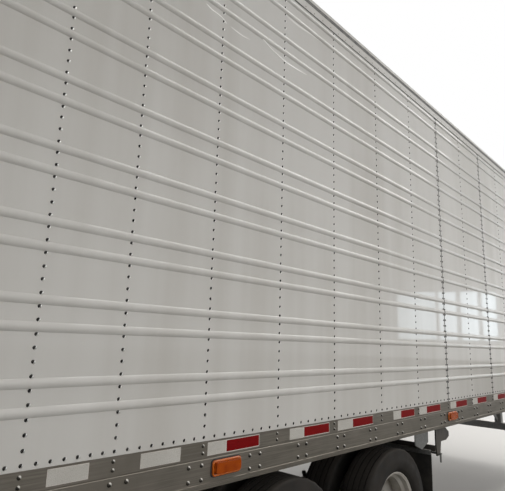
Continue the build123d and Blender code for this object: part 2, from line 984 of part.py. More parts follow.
def end_hanger(x):
    """Front or rear hanger, with the wear pad that the spring end bears on."""
    low = hanger_low_z()
    high = bogie_bottom_z
    top = hanger_top_length / 2
    foot = hanger_low_length / 2
    side = hanger_width / 2
    outline = [(x - top, high), (x + top, high), (x + foot, low), (x - foot, low)]
    pad_z = spring_top_z()
    pad = block(x - foot, x + foot, spring_y - side, spring_y + side,
                pad_z, pad_z + wear_pad_thickness)
    cap = block(x - top, x + top, spring_y - side, spring_y + side,
                high - hanger_plate, high)
    return fuse(hanger_plates(outline) + [pad, cap])


def middle_hanger():
    """Centre hanger, which carries the equalizer on a pivot pin."""
    x = middle_axle_x
    low = hanger_low_z()
    high = bogie_bottom_z
    top = hanger_top_length / 2
    foot = hanger_low_length / 2
    side = hanger_width / 2
    outline = [(x - top, high), (x + top, high), (x + foot, low), (x - foot, low)]
    cap = block(x - top, x + top, spring_y - side, spring_y + side,
                high - hanger_plate, high)
    pin = rod_y(x, spring_y - side, spring_y + side, equalizer_pin_z(), equalizer_pin_radius)
    return fuse(hanger_plates(outline) + [cap, pin])


def equalizer_pin_z():
    return spring_top_z() + equalizer_pin_rise


def equalizer():
    """Rocker that shares the load between the two springs' inner ends."""
    x = middle_axle_x
    low = spring_top_z()
    reach = axle_spread / 2 - leaf_half_lengths[0] + equalizer_end
    inner = reach - equalizer_pad
    outline = [
        (x - reach, low), (x - inner, low), (x - equalizer_waist, low + equalizer_arch),
        (x + equalizer_waist, low + equalizer_arch), (x + inner, low), (x + reach, low),
        (x + reach, low + equalizer_thickness),
        (x + equalizer_waist, low + equalizer_height),
        (x - equalizer_waist, low + equalizer_height),
        (x - reach, low + equalizer_thickness),
    ]
    side = spring_width / 2
    beam = along_y(face(outline), spring_y - side, spring_y + side)
    hole = rod_y(x, spring_y - side, spring_y + side, equalizer_pin_z(), equalizer_pin_radius)
    return beam - hole


def torque_arm(hanger_x, axle_x):
    """Radius rod from a hanger's foot to the axle's lugs, with its bolts."""
    eye = torque_eye_width / 2
    hanger_z = hanger_low_z() + torque_eye_radius
    lug_x = axle_x + torque_lug_reach
    ends = [
        (lug_x, axle_z, lug_side()),
        (hanger_x, hanger_z, hanger_width / 2 - hanger_plate),
    ]
    pieces = [bar((lug_x, spring_y, axle_z), (hanger_x, spring_y, hanger_z),
                  torque_arm_radius)]
    for x, z, bolt in ends:
        pieces.append(rod_y(x, spring_y - eye, spring_y + eye, z, torque_eye_radius))
        pieces.append(rod_y(x, spring_y - bolt, spring_y + bolt, z, torque_bolt_radius))
    return fuse(pieces)


def lug_side():
    """Inner face of the axle lugs, from the middle of the spring."""
    return spring_width / 2 + torque_lug_gap


def axle(x):
    """Tube with spindles, spring seats, clips, lugs and brake mounts."""
    tube = rod_y(x, -axle_shoulder_y, axle_shoulder_y, axle_z, axle_radius)
    spindles = rod_y(x, -spindle_end, spindle_end, axle_z, spindle_radius)
    return fuse([tube, spindles] + axle_side(x) + [right(p) for p in axle_side(x)])


def axle_side(x):
    """What one side of an axle carries."""
    half = seat_length / 2
    seat_side = hanger_width / 2
    base = spring_base_z()
    seat = block(x - half, x + half, spring_y - seat_side, spring_y + seat_side,
                 axle_z + axle_radius / 2, base)
    pieces = [seat]
    pack_top = base + leaf_thickness * len(leaf_half_lengths)
    lift = spring_camber * (clip_half / leaf_half_lengths[0]) ** 2 + clip_gap
    clip_z = pack_top + lift
    pieces.append(block(x - clip_half, x + clip_half, spring_y - seat_side,
                        spring_y + seat_side, clip_z, clip_z + clip_thickness))
    bolt_side = spring_width / 2 + clip_bolt_radius + 1
    for along in (-1, 1):
        for across in (-1, 1):
            bolt_x = x + along * (clip_half - clip_bolt_radius)
            pieces.append(rod_z(bolt_x, spring_y + across * bolt_side, base - 1,
                                clip_z + 1, clip_bolt_radius))
    lug = lug_side()
    for y in (spring_y - lug - lug_thickness, spring_y + lug):
        pieces.append(block(x, x + torque_lug_reach + torque_eye_radius, y,
                            y + lug_thickness, axle_z - torque_eye_radius,
                            axle_z + torque_eye_radius))
    pieces.append(rod_y(x, spider_y - dust_shield_thickness, spider_y,
                        axle_z, dust_shield_radius))
    pieces.append(rod_y(x, spider_y - spider_thickness, spider_y, axle_z, spider_radius))
    pieces.append(block(x - chamber_offset, x, chamber_y - chamber_bracket / 2,
                        chamber_y + chamber_bracket / 2, axle_z - chamber_bracket / 2,
                        axle_z + chamber_bracket / 2))
    return pieces


def brake_chamber(x):
    """Air chamber with the band that clamps its two halves."""
    face_x = x - chamber_offset
    z = axle_z
    service = rod_x(face_x - chamber_length, face_x, chamber_y, z, chamber_body_radius)
    clamp_x = face_x - chamber_clamp_at
    clamp = rod_x(clamp_x - chamber_clamp, clamp_x, chamber_y, z, chamber_radius)
    return fuse([service, clamp])


def camshaft(x):
    """Camshaft from the slack adjuster out to the brake spider."""
    cam_x = x - cam_offset
    cam_z = axle_z + axle_radius + cam_rise
    lever_y = chamber_y
    shaft = rod_y(cam_x, lever_y, spider_y - spider_thickness, cam_z, cam_radius)
    half = cam_lever / 2
    side = cam_lever_thickness / 2
    lever = block(cam_x - half, cam_x + half, lever_y - side, lever_y + side,
                  axle_z + chamber_bracket / 2, cam_z + half)
    return fuse([shaft, lever])


def air_tank():
    """Air tank across the front of the tandem, with domed ends."""
    strap_front = bogie_front_x - bogie_cross_width
    x = strap_front - tank_radius - tank_gap
    end = tank_length / 2
    z = bogie_bottom_z + bogie_rail_wall + bogie_cross_height / 2
    barrel = rod_y(x, -end, end, z, tank_radius)
    ends = [e for e in barrel.edges().filter_by(GeomType.CIRCLE)]
    tank = fillet(ends, tank_dome)
    half = tank_strap / 2
    for y in (-tank_strap_y, tank_strap_y):
        tank = tank + block(x, strap_front, y - half, y + half, z - half, z + half)
    return tank


# Wheels

def turned(points, x, y_sign=1):
    """A piece turned about the axle, from (radius, y) points."""
    section = face([(radius, y * y_sign) for radius, y in points])
    whole = revolve(section, Axis.Y)
    return Pos(x, 0, axle_z) * whole


def hub_points():
    bore = spindle_radius + hub_running_gap
    flange = dual_y - disc_thickness
    back = spider_y + hub_back_gap
    nose = dual_y + disc_thickness + hub_nose
    cap = hub_end_y - hub_cap_round
    return [
        (bore, back), (hub_seal_radius, back), (hub_seal_radius, back + hub_seal_length),
        (hub_radius, back + hub_barrel_start), (hub_radius, flange - hub_flange),
        (disc_hub_radius, flange - hub_flange), (disc_hub_radius, flange),
        (hub_radius, flange), (hub_radius, nose),
        (hub_cap_radius, nose + hub_nose_taper), (hub_cap_radius, cap),
        (hub_cap_radius - hub_cap_round, hub_end_y), (0, hub_end_y),
        (0, spindle_end + spindle_end_gap), (bore, spindle_end + spindle_end_gap),
    ]


def drum_points():
    flange = dual_y - disc_thickness - hub_flange
    back = spider_y + hub_back_gap
    end = back + drum_length
    inner = drum_radius - drum_wall
    return [
        (inner, back), (drum_radius, back), (drum_radius, end - drum_neck),
        (disc_hub_radius, flange), (hub_radius, flange), (hub_radius, flange - drum_web),
        (drum_web_radius, flange - drum_web), (inner, end - drum_neck_inside),
    ]


def disc_points(side):
    """Dished wheel disc; side is +1 for the outer wheel, -1 for the inner."""
    near = dual_y
    far = near + side * disc_thickness
    rim_y = dual_y + side * disc_depth
    edge = rim_radius - disc_rim_bite
    return [
        (hub_radius, near), (disc_hub_radius, near), (edge, rim_y),
        (edge, rim_y + side * disc_edge_thickness),
        (disc_hub_radius - disc_step, far), (hub_radius, far),
    ]


def rim_points(side):
    """Drop centre rim section about its own middle plane."""
    middle = dual_y + side * dual_spacing / 2
    half = rim_width / 2
    near = [
        (rim_radius + rim_flange, half), (rim_radius, half - rim_bead_start),
        (rim_radius - rim_seat_drop, half - rim_seat_end),
        (rim_well_radius, half - rim_well_edge),
    ]
    outer = near + [(radius, -y) for radius, y in reversed(near)]
    inner = [(radius - rim_thickness, y) for radius, y in reversed(outer)]
    return [(radius, middle + y) for radius, y in outer + inner]


def tyre_points(side):
    """Tyre section about the rim's middle plane, hollow inside."""
    middle = dual_y + side * dual_spacing / 2
    bead = rim_radius + tyre_bead_gap
    height = tyre_radius - bead
    half = tyre_width / 2
    outer = [(bead + up * height, out * half) for up, out in tyre_outside]
    inner = [(bead + up * height, out * half) for up, out in tyre_inside]
    mirrored = [(radius, -y) for radius, y in reversed(outer)]
    inside = [(radius, -y) for radius, y in reversed(inner)]
    ring = outer + mirrored + inside + inner
    return [(radius, middle + y) for radius, y in ring]


def wheel_core(x, y_sign):
    """Hub, brake drum and the two wheels of one dual, as one turning piece."""
    core = turned(hub_points(), x, y_sign) + turned(drum_points(), x, y_sign)
    for side in (1, -1):
        core = core + turned(disc_points(side), x, y_sign)
        core = core + turned(rim_points(side), x, y_sign)
    reach = disc_depth + disc_thickness * 2
    for n in range(hand_hole_count):
        angle = radians(360 * n / hand_hole_count + 90)
        at_x = x + hand_hole_circle * cos(angle)
        at_z = axle_z + hand_hole_circle * sin(angle)
        outer_y = sorted((dual_y * y_sign, (dual_y + reach) * y_sign))
        core = core - rod_y(at_x, outer_y[0], outer_y[1], at_z, hand_hole_radius)
    return core


def tyres(x, y_sign):
    return [turned(tyre_points(side), x, y_sign) for side in (1, -1)]


# Mudflaps

def mudflap_bar():
    """Hanger bar from the tandem's side out past the tyres."""
    x = rear_axle_x - flap_behind_axle
    half = flap_bar_depth / 2
    low = flap_bar_z - flap_bar_height / 2
    high = flap_bar_z + flap_bar_height / 2
    angle = face([
        (x - half, low), (x - half + flap_bar_wall, low),
        (x - half + flap_bar_wall, high - flap_bar_wall), (x + half, high - flap_bar_wall),
        (x + half, high), (x - half, high),
    ])
    bar_piece = along_y(angle, bogie_outer_y, flap_outer_y)
    return bar_piece + mudflap_tab(x, high)


def mudflap_tab(x, foot_z):
    """Upright tab near the bar's outer end."""
    top = foot_z + flap_tab_height
    shoulder = foot_z + flap_tab_neck
    low = foot_z - flap_bar_wall / 2
    half = flap_bar_depth / 2
    wide = flap_tab_half
    outline = face([
        (x - wide, top), (x + wide, top), (x + wide, shoulder), (x + half, foot_z),
        (x + half, low), (x - half, low), (x - half, foot_z), (x - wide, shoulder),
    ])
    outer = flap_outer_y - flap_tab_from_end
    return along_y(outline, outer - flap_tab_thickness, outer)


def mudflap():
    x = rear_axle_x - flap_behind_axle - flap_bar_depth / 2
    top = flap_bar_z + flap_bar_height / 2
    return block(x - flap_thickness, x, flap_outer_y - flap_width, flap_outer_y,
                 flap_bottom_z, top)


# Locking pins

def locking_pins():
    """Four pins on two link bars, drawn in, and the pull handle."""
    z = beam_bottom_z - slide_hole_drop
    tip = slide_web_y - pin_retract
    tail = tip - pin_length
    rear, front = pin_places()
    pins = [rod_y(x, tail, tip, z, pin_radius) for x in (rear, front)]
    link = rod_x(rear - pin_radius, front + pin_radius, tail, z, pin_bar_radius)
    handle_x = bogie_rear_x - handle_behind_frame
    long_link = rod_x(handle_x, front + pin_radius, tail, z, pin_bar_radius)
    left = fuse([long_link] + pins + pull_handle(handle_x, tail, z))
    return left, right(fuse([link] + pins))


def pull_handle(x, lever_y, lever_top_z):
    """Lever down from the link bar, and the handle rod out to the left."""
    z = bogie_bottom_z - handle_rod_radius
    lever = rod_z(x, lever_y, z, lever_top_z, handle_rod_radius + 1)
    rod = rod_y(x, lever_y, handle_reach_y, z, handle_rod_radius)
    grip_y = handle_reach_y - handle_rod_radius
    grip = rod_z(x, grip_y, z - handle_hook, z, handle_rod_radius - 1)
    return [lever, rod, grip]


# Rear frame and doors

def rear_frame():
    """Posts, header and sill round the door opening, with lamp recesses."""
    low = skin_bottom_z - rail_lip
    whole = block(frame_rear_x, wall_rear_x, -post_outer_y, post_outer_y, low, roof_edge_z)
    opening = block(frame_rear_x, wall_rear_x, -post_inner_y, post_inner_y,
                    floor_top_z, header_bottom_z)
    frame = whole - opening
    for y, z, radius in rear_lamp_places():
        recess = rod_x(frame_rear_x, frame_rear_x + lamp_recess, y, z, radius + lamp_gap)
        frame = frame - recess
    return frame


def rear_lamp_places():
    """(y, z, radius) of each round lamp in the rear frame."""
    sill_z = (skin_bottom_z - rail_lip + floor_top_z) / 2
    header_z = (header_bottom_z + roof_edge_z) / 2
    places = []
    for side in (-1, 1):
        for y in tail_lamp_y:
            places.append((side * y, sill_z, round_lamp_radius))
        places.append((side * header_corner_lamp_y, header_z, header_lamp_radius))
    for y in header_middle_lamp_y:
        places.append((y, header_z, header_lamp_radius))
    return places


def rear_lamps():
    lamps = []
    for y, z, radius in rear_lamp_places():
        lamp = rod_x(frame_rear_x - lamp_proud, frame_rear_x + lamp_recess, y, z, radius)
        lamps.append(lamp)
    return lamps


def door():
    """Left door: a composite panel as thick as the whole door."""
    return block(-half_length, -half_length + door_thickness, door_inner_y, door_outer_y,
                 door_bottom_z, door_top_z)


def hinge_levels():
    low = door_bottom_z + hinge_end_distance
    high = door_top_z - hinge_end_distance
    step = (high - low) / (hinge_count - 1)
    return [low + n * step for n in range(hinge_count)]


def door_hinges():
    """Straps on the door's face, each with a knuckle round the pin."""
    edge = hinge_y - door_outer_y
    reach = edge + hinge_strap_reach
    face_x = hinge_axis_behind_door
    back = face_x - hinge_strap
    knuckle = hinge_knuckle_radius
    outline = face([
        (hinge_x, hinge_y - knuckle), (hinge_x + back, hinge_y - hinge_neck),
        (hinge_x + back, hinge_y - reach), (hinge_x + face_x, hinge_y - reach),
        (hinge_x + face_x, hinge_y - hinge_shoulder),
        (hinge_x + hinge_shoulder, hinge_y - hinge_shoulder_y),
    ])
    hinges = []
    for z in hinge_levels():
        low = z - hinge_height / 2
        high = z + hinge_height / 2
        strap = along_z(outline, low, high) + rod_z(hinge_x, hinge_y, low, high, knuckle)
        hinges.append(strap - rod_z(hinge_x, hinge_y, low, high,
                                    hinge_pin_radius + hinge_running_gap))
    return hinges


def hinge_brackets():
    """Ears on the frame above and below each knuckle, with the pin."""
    brackets = []
    knuckle = hinge_knuckle_radius
    for z in hinge_levels():
        pieces = []
        low = z - hinge_height / 2 - hinge_side_gap - hinge_ear
        high = z + hinge_height / 2 + hinge_side_gap + hinge_ear
        for bottom in (low, high - hinge_ear):
            boss = rod_z(hinge_x, hinge_y, bottom, bottom + hinge_ear, knuckle)
            web = block(hinge_x, frame_rear_x, hinge_y - 2 * knuckle, hinge_y + knuckle,
                        bottom, bottom + hinge_ear)
            pieces += [boss, web]
        pieces.append(rod_z(hinge_x, hinge_y, low, high, hinge_pin_radius))
        brackets.append(fuse(pieces))
    return brackets


def lock_rod_x():
    return -half_length - lock_rod_standoff - lock_rod_radius


def lock_rod(y):
    """Lock rod with a cam at each end and guides down the door's face."""
    x = lock_rod_x()
    low = door_bottom_z - lock_rod_reach
    high = door_top_z + lock_rod_reach
    pieces = [rod_z(x, y, low, high, lock_rod_radius)]
    for bottom in (low, high - cam_height):
        pieces.append(block(x - lock_rod_radius, x + lock_rod_radius, y - cam_width / 2,
                            y + cam_width / 2, bottom, bottom + cam_height))
    for share in lock_guide_heights:
        z = door_bottom_z + share * (door_top_z - door_bottom_z)
        side = lock_rod_radius + lock_guide_wall
        pieces.append(block(x - side, -half_length, y - side, y + side,
                            z - lock_guide_height / 2, z + lock_guide_height / 2))
    return pieces


def lock_rods():
    """Both rods of one door, each with its handle folded flat."""
    rods = []
    for reach in lock_rod_from_hinge:
        y = hinge_y - reach
        pieces = lock_rod(y)
        x = lock_rod_x()
        pieces.append(block(x - handle_depth / 2, x + handle_depth / 2, y,
                            y + handle_length, handle_z, handle_z + handle_height))
        rods.append(fuse(pieces))
    return rods


def lock_keepers():
    """Keepers on the sill and the header, open to the rear."""
    low = door_bottom_z - lock_rod_reach - (keeper_height - cam_height) / 2
    high = door_top_z + lock_rod_reach - cam_height - (keeper_height - cam_height) / 2
    keepers = []
    for reach in lock_rod_from_hinge:
        for bottom in (low, high):
            y = hinge_y - reach
            inside = cam_width / 2 + keeper_gap
            outside = inside + keeper_wall
            rear = lock_rod_x() - lock_rod_radius
            plate = block(frame_rear_x - keeper_plate, frame_rear_x, y - outside,
                          y + outside, bottom, bottom + keeper_height)
            near = block(rear, frame_rear_x, y - outside, y - inside, bottom,
                         bottom + keeper_height)
            far = block(rear, frame_rear_x, y + inside, y + outside, bottom,
                        bottom + keeper_height)
            keepers.append(fuse([plate, near, far]))
    return keepers


def dock_bumper():
    """Rubber block on the sill, the rearmost point of the trailer."""
    rear = -half_length - overhang
    return block(rear, frame_rear_x, bumper_inner_y, bumper_outer_y,
                 bumper_bottom_z, bumper_bottom_z + bumper_height)


def rear_guard():
    """Bumper tube on two posts, each with a stay forward to a beam."""
    x = (frame_rear_x + wall_rear_x) / 2
    half = guard_size / 2
    top = skin_bottom_z - rail_lip
    tube_z = guard_bottom_z + half
    tube = block(x - half, x + half, -guard_width / 2, guard_width / 2,
                 guard_bottom_z, guard_bottom_z + guard_size)
    post_half = guard_post_size / 2
    post = block(x - post_half, x + post_half, guard_post_y - post_half,
                 guard_post_y + post_half, guard_bottom_z + guard_size, top)
    beam_x = wall_rear_x + beam_from_rear_frame + beam_pitch
    front = x + post_half
    end = beam_x + beam_flange / 2
    stay = face([
        (front, tube_z + half + guard_stay_foot), (front, tube_z + half),
        (end, beam_bottom_z - guard_stay_top), (end, beam_bottom_z),
        (beam_x - beam_flange, beam_bottom_z),
    ])
    plate = along_y(stay, guard_post_y - guard_stay / 2, guard_post_y + guard_stay / 2)
    leg = post + plate
    return fuse([tube, leg, right(leg)])


# Lamps

def side_lamp(x):
    """Base and lens of a lamp on the rail's lower band, left side."""
    z = skin_bottom_z - lamp_drop
    plane = Plane(origin=(x, rail_y, z), x_dir=(1, 0, 0), z_dir=(0, 1, 0))
    outline = RectangleRounded(lamp_length, lamp_height, lamp_corner)
    base = extrude(plane * outline, amount=lamp_base)
    above = plane.offset(lamp_base)
    window = RectangleRounded(lamp_length - 2 * lamp_rim, lamp_height - 2 * lamp_rim,
                              lens_corner)
    lens = extrude(above * window, amount=lamp_lens, taper=lamp_taper)
    return base, lens


def side_lamps():
    """Bases, amber lenses and red lenses of both sides."""
    red_x = end_lamp_inset - half_length
    amber_x = [half_length - end_lamp_inset]
    amber_x += [inset - half_length for inset in amber_lamp_from_rear]
    bases, amber, red = [], [], []
    for x in amber_x + [red_x]:
        base, lens = side_lamp(x)
        bases += [base, right(base)]
        lenses = [lens, right(lens)]
        if x == red_x:
            red += lenses
        else:
            amber += lenses
    return bases, amber, red


def nose_lamps():
    """Small amber lamps at the upper corners of the nose."""
    z = (wall_top_z + roof_edge_z) / 2
    lamps = []
    for y in (-nose_lamp_y, nose_lamp_y):
        lamps.append(rod_x(half_length, half_length + nose_lamp_depth, y, z,
                           header_lamp_radius))
    return lamps


# Front connections

def connection_plate():
    half = connection_width / 2
    low = connection_z - connection_height / 2
    high = connection_z + connection_height / 2
    return block(half_length, half_length + connection_plate_thickness, -half, half, low, high)


def air_coupling(y):
    """Coupling head: a stem, a body and the turned face of the coupling."""
    start = half_length + connection_plate_thickness
    end = half_length + overhang
    stem = rod_x(start, end - coupling_depth, y, connection_z, coupling_stem_radius)
    head = rod_x(end - coupling_depth, end, y, connection_z, coupling_radius)
    lug = block(end - coupling_depth, end - coupling_depth / 2, y - coupling_lug,
                y + coupling_lug, connection_z - coupling_stem_radius,
                connection_z + coupling_stem_radius)
    return fuse([stem, head, lug])


def power_socket():
    """Round socket with a flat spring lid hinged at its top."""
    start = half_length + connection_plate_thickness
    end = start + socket_depth
    body = rod_x(start, end, 0, connection_z, socket_radius)
    lid = rod_x(end, end + socket_lid, 0, connection_z, socket_lid_radius)
    return body + lid


def export_all():
    middle, posts = nose_parts()
    left_wall = side_wall()
    save("left_wall", left_wall)
    save("right_wall", [right(s) for s in left_wall])
    rail = bottom_rail()
    save("bottom_rails", [rail, right(rail)])
    upper = top_rail()
    save("top_rails", [upper, right(upper)])
    save("front_wall", middle)
    save("front_corner_posts", posts)
    save("front_rails", nose_rails())
    save("roof_panel", roof_panel())
    save("roof_bows", roof_bows())
    save("floor_deck", floor_deck())
    save("crossmembers", crossmembers())
    save("coupler_plate", coupler_plate())
    save("kingpin", kingpin())
    leg = landing_leg()
    save("landing_legs", [leg, right(leg)])
    foot = landing_foot()
    save("landing_feet", [foot, right(foot)])
    save("landing_gear_shaft", landing_shaft())
    save("landing_gear_braces", landing_braces())
    slide = slide_rail()
    save("slide_rails", [slide, right(slide)])
    save("bogie_frame", bogie_frame())
    springs = [leaf_spring(x) for x in (front_axle_x, rear_axle_x)]
    save("leaf_springs", springs + [right(s) for s in springs])
    hangers = [end_hanger(front_axle_x + hanger_offset), middle_hanger(),
               end_hanger(rear_axle_x - hanger_offset)]
    save("spring_hangers", hangers + [right(s) for s in hangers])
    rocker = equalizer()
    save("equalizers", [rocker, right(rocker)])
    arms = [torque_arm(front_axle_x + hanger_offset, front_axle_x),
            torque_arm(middle_axle_x, rear_axle_x)]
    save("torque_arms", arms + [right(s) for s in arms])
    save("front_axle", axle(front_axle_x))
    save("rear_axle", axle(rear_axle_x))
    chambers = [brake_chamber(x) for x in (front_axle_x, rear_axle_x)]
    save("brake_chambers", chambers + [right(s) for s in chambers])
    shafts = [camshaft(x) for x in (front_axle_x, rear_axle_x)]
    save("brake_camshafts", shafts + [right(s) for s in shafts])
    save("air_tank", air_tank())
    bar_piece = mudflap_bar()
    save("mudflap_bars", [bar_piece, right(bar_piece)])
    flap = mudflap()
    save("mudflaps", [flap, right(flap)])
    save("locking_pins", list(locking_pins()))
    for name, x in (("front", front_axle_x), ("rear", rear_axle_x)):
        for side, sign in (("left", 1), ("right", -1)):
            save(f"{name}_{side}_wheels", wheel_core(x, sign))
            save(f"{name}_{side}_tyres", tyres(x, sign))
    save("rear_frame", rear_frame())
    save("left_door", door())
    save("right_door", right(door()))
    straps = door_hinges()
    save("left_door_hinges", straps)
    save("right_door_hinges", [right(s) for s in straps])
    ears = hinge_brackets()
    save("hinge_brackets", ears + [right(s) for s in ears])
    rods = lock_rods()
    save("left_lock_rods", rods)
    save("right_lock_rods", [right(s) for s in rods])
    keepers = lock_keepers()
    save("lock_keepers", keepers + [right(s) for s in keepers])
    bumper = dock_bumper()
    save("dock_bumpers", [bumper, right(bumper)])
    save("rear_guard", rear_guard())
    bases, amber, red = side_lamps()
    save("lamp_bases", bases)
    save("amber_lamps", amber + nose_lamps())
    save("red_lamps", red + rear_lamps())
    save("connection_plate", connection_plate())
    save("air_couplings", [air_coupling(-coupling_y), air_coupling(coupling_y)])
    save("power_socket", power_socket())


os.makedirs("parts", exist_ok=True)
export_all()
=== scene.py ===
# %% [markdown]
# # A box semi trailer, dressed in Blender
# The solids of this trailer come from its CAD source and are loaded as a fixed
# frame, in metres: +X runs forward to the nose, +Y to the left side and +Z up.
# Each cell below adds one finish or one set of small pieces: paint, rivets,
# reflective tape, lamp glass, tyre tread, bolts and seals. Nothing here moves a
# CAD solid, so every joint of the frame still works when the script has run.

# %% Load the frame
import json
import math
import random

import bmesh
import bpy
import numpy as np
from mathutils import Matrix, Vector


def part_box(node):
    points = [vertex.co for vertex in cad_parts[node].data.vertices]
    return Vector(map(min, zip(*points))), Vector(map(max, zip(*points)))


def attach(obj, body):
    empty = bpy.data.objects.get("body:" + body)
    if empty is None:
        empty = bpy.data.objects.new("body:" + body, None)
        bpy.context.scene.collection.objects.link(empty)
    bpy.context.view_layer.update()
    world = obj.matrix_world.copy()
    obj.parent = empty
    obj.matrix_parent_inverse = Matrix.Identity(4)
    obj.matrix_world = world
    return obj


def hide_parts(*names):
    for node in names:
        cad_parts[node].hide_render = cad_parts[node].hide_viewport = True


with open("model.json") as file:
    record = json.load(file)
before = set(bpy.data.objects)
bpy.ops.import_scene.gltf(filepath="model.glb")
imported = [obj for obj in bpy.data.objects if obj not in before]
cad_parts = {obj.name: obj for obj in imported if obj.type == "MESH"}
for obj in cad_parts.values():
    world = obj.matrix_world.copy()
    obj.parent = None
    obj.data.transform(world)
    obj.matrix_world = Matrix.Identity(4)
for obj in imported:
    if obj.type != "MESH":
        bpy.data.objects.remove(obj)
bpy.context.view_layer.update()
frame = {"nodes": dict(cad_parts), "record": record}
nodes = frame["nodes"]

# %% [markdown]
# ## Where the body's main faces are
# Small pieces have to sit on the solids, so their places are worked out from the
# solids' own boxes. The body is the same on both sides of the XZ plane, and a
# place on the left side is mirrored to give the one on the right.

# %% Faces of the body
sides = {"left": 1, "right": -1}
wall_low, wall_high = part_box("left_wall")
top_low, top_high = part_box("top_rails")
nose_low, nose_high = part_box("front_wall")
wall_rear, wall_front = wall_low.x, wall_high.x
rib_height = 0.008
skin_y = wall_high.y - rib_height
skin_bottom, skin_top = wall_low.z, wall_high.z
rail_y = skin_y - 0.004
print("skin at y", round(skin_y, 4), "from z", round(skin_bottom, 3), "to", round(skin_top, 3))

# %% [markdown]
# ## The camera stands beside the rear half of the left side
# A camera is set by where it stands, where it looks and how wide it sees. Here it
# stands 1.8 m out from the skin at eye height, turned to look along the side
# towards the rear, tipped up a little and rolled by under two degrees. The lens
# is given in millimetres for a sensor 36 mm wide.

# %% The camera
scene = bpy.context.scene
camera_place = Vector((0.2242, 3.1085, 1.687))
turn, tip, roll = (math.radians(angle) for angle in (46.26, 11.46, 1.78))
lens_mm, sensor_mm = 34.17, 36


def add_object(name, data):
    """A new object in the scene, with its camera, lamp or mesh."""
    item = bpy.data.objects.new(name, data)
    scene.collection.objects.link(item)
    return item


forward = Vector((-math.sin(turn) * math.cos(tip), -math.cos(turn) * math.cos(tip), math.sin(tip)))
level = Vector((-math.cos(turn), math.sin(turn), 0))
rise = level.cross(forward)
right = level * math.cos(roll) + rise * math.sin(roll)
up = rise * math.cos(roll) - level * math.sin(roll)
camera_data = bpy.data.cameras.new("camera")
camera_data.lens, camera_data.sensor_width, camera_data.clip_end = lens_mm, sensor_mm, 200
camera = add_object("camera", camera_data)
camera.matrix_world = Matrix((*zip(right, up, -forward, camera_place), (0, 0, 0, 1)))
scene.camera = camera
scene.view_settings.view_transform = "Standard"
print("camera at", [round(c, 3) for c in camera_place])

# %% [markdown]
# ## Soft light from above and a white surround
# A long pale side shows its shape only by soft changes of light, so the lamps are
# large area lights. The world gives an even fill, and what the camera and mirror
# rays see of it is plain white, at strength 1. Glossy paint also mirrors whatever
# stands behind the viewer: four cool panes in a row, far to the rear, lay a window
# in it. The big lamps would do the same, so gloss doesn't see those marked False.

# %% Lights and world
world = bpy.data.worlds.new("studio")
scene.world = world
world.use_nodes = True


def studio_world(tree, fill_colour, fill_strength):
    """World that fills softly, and looks white to camera, mirror and glass rays."""
    tree.nodes.clear()
    new, link = tree.nodes.new, tree.links.new
    path, mix = new("ShaderNodeLightPath"), new("ShaderNodeMixShader")
    seen, through = new("ShaderNodeMath"), new("ShaderNodeMath")
    seen.operation = through.operation = "MAXIMUM"
    for start, end in ((path.outputs["Is Camera Ray"], seen.inputs[0]),
                       (path.outputs["Is Glossy Ray"], seen.inputs[1]),
                       (seen.outputs[0], through.inputs[0]),
                       (path.outputs["Is Transmission Ray"], through.inputs[1]),
                       (through.outputs[0], mix.inputs[0])):
        link(start, end)
    for n, (colour, strength) in enumerate(((fill_colour, fill_strength), ((1, 1, 1), 1))):
        shade = new("ShaderNodeBackground")
        shade.inputs["Color"].default_value = (*colour, 1)
        shade.inputs["Strength"].default_value = strength
        link(shade.outputs[0], mix.inputs[n + 1])
    link(mix.outputs[0], new("ShaderNodeOutputWorld").inputs["Surface"])


def area_lamp(name, place, target, size, watts, colour=(1, 1, 1), in_gloss=True):
    """A flat lamp at one point, turned to face another."""
    data = bpy.data.lights.new(name, "AREA")
    data.shape = "RECTANGLE"
    data.size, data.size_y = size
    data.energy, data.color = watts, colour
    lamp = add_object(name, data)
    lamp.location, lamp.visible_glossy = place, in_gloss
    aim = Vector(target) - Vector(place)
    lamp.rotation_euler = aim.to_track_quat("-Z", "Y").to_euler()
    return lamp


studio_world(world.node_tree, (1.0, 0.985, 0.96), 0.34)
area_lamp("left_light", (-6.0, 9.5, 4.0), (-3.4, 0.0, 1.8), (12, 4), 166, (1.0, 0.98, 0.955), False)
opening, opening_aim = Vector((-31.5, 12.0, 3.8)), Vector((27.2, -10.7, -1.9))
across = Vector((0.366, 0.931, 0.0))
pane_tall, pane_watts = 3.1, 31
for n, (shift, width) in enumerate(((1.9, 2.4), (-0.05, 1.05), (-1.35, 1.0), (-2.5, 0.8))):
    pane = opening + shift * across
    area_lamp(f"opening_light_{n}", pane, pane + opening_aim, (width, pane_tall),
              pane_watts * width, (0.80, 0.92, 1.0))
low_light = area_lamp("low_light", (-4.4, 9.5, 1.9), (-4.4, 0.0, 1.5), (13, 1.4), 100,
                      (1.0, 0.99, 0.98), False)
low_light.data.spread = 1.6
area_lamp("sky_light", (-11.2, 3.3, 10.4), (-11.2, 1.3, 3.4), (12.5, 3.4), 480, (1.0, 0.985, 0.96))
area_lamp("front_left_light", (7.0, 12.0, 6.0), (5.0, 0.0, 2.0), (10, 4), 160)
area_lamp("right_light", (2.0, -13.0, 6.6), (2.0, 0.0, 2.2), (18, 5), 760, (1.0, 0.98, 0.95), False)
area_lamp("nose_light", (15.0, 2.0, 6.0), (7.0, 0.0, 2.0), (6, 5), 220)
area_lamp("tail_light", (-15.5, -1.5, 6.0), (-7.0, 0.0, 2.0), (3, 5), 220)

# %% [markdown]
# ## Finishes are built from a few small node helpers
# Every finish below is made of nodes, with no image. `finish` makes a material
# with one Principled shader. `spots` gives a noise pattern in the object's own
# metres, `between` turns it into two colours and `spread` into a range of values.
# A value that is the same all over is set on the shader.

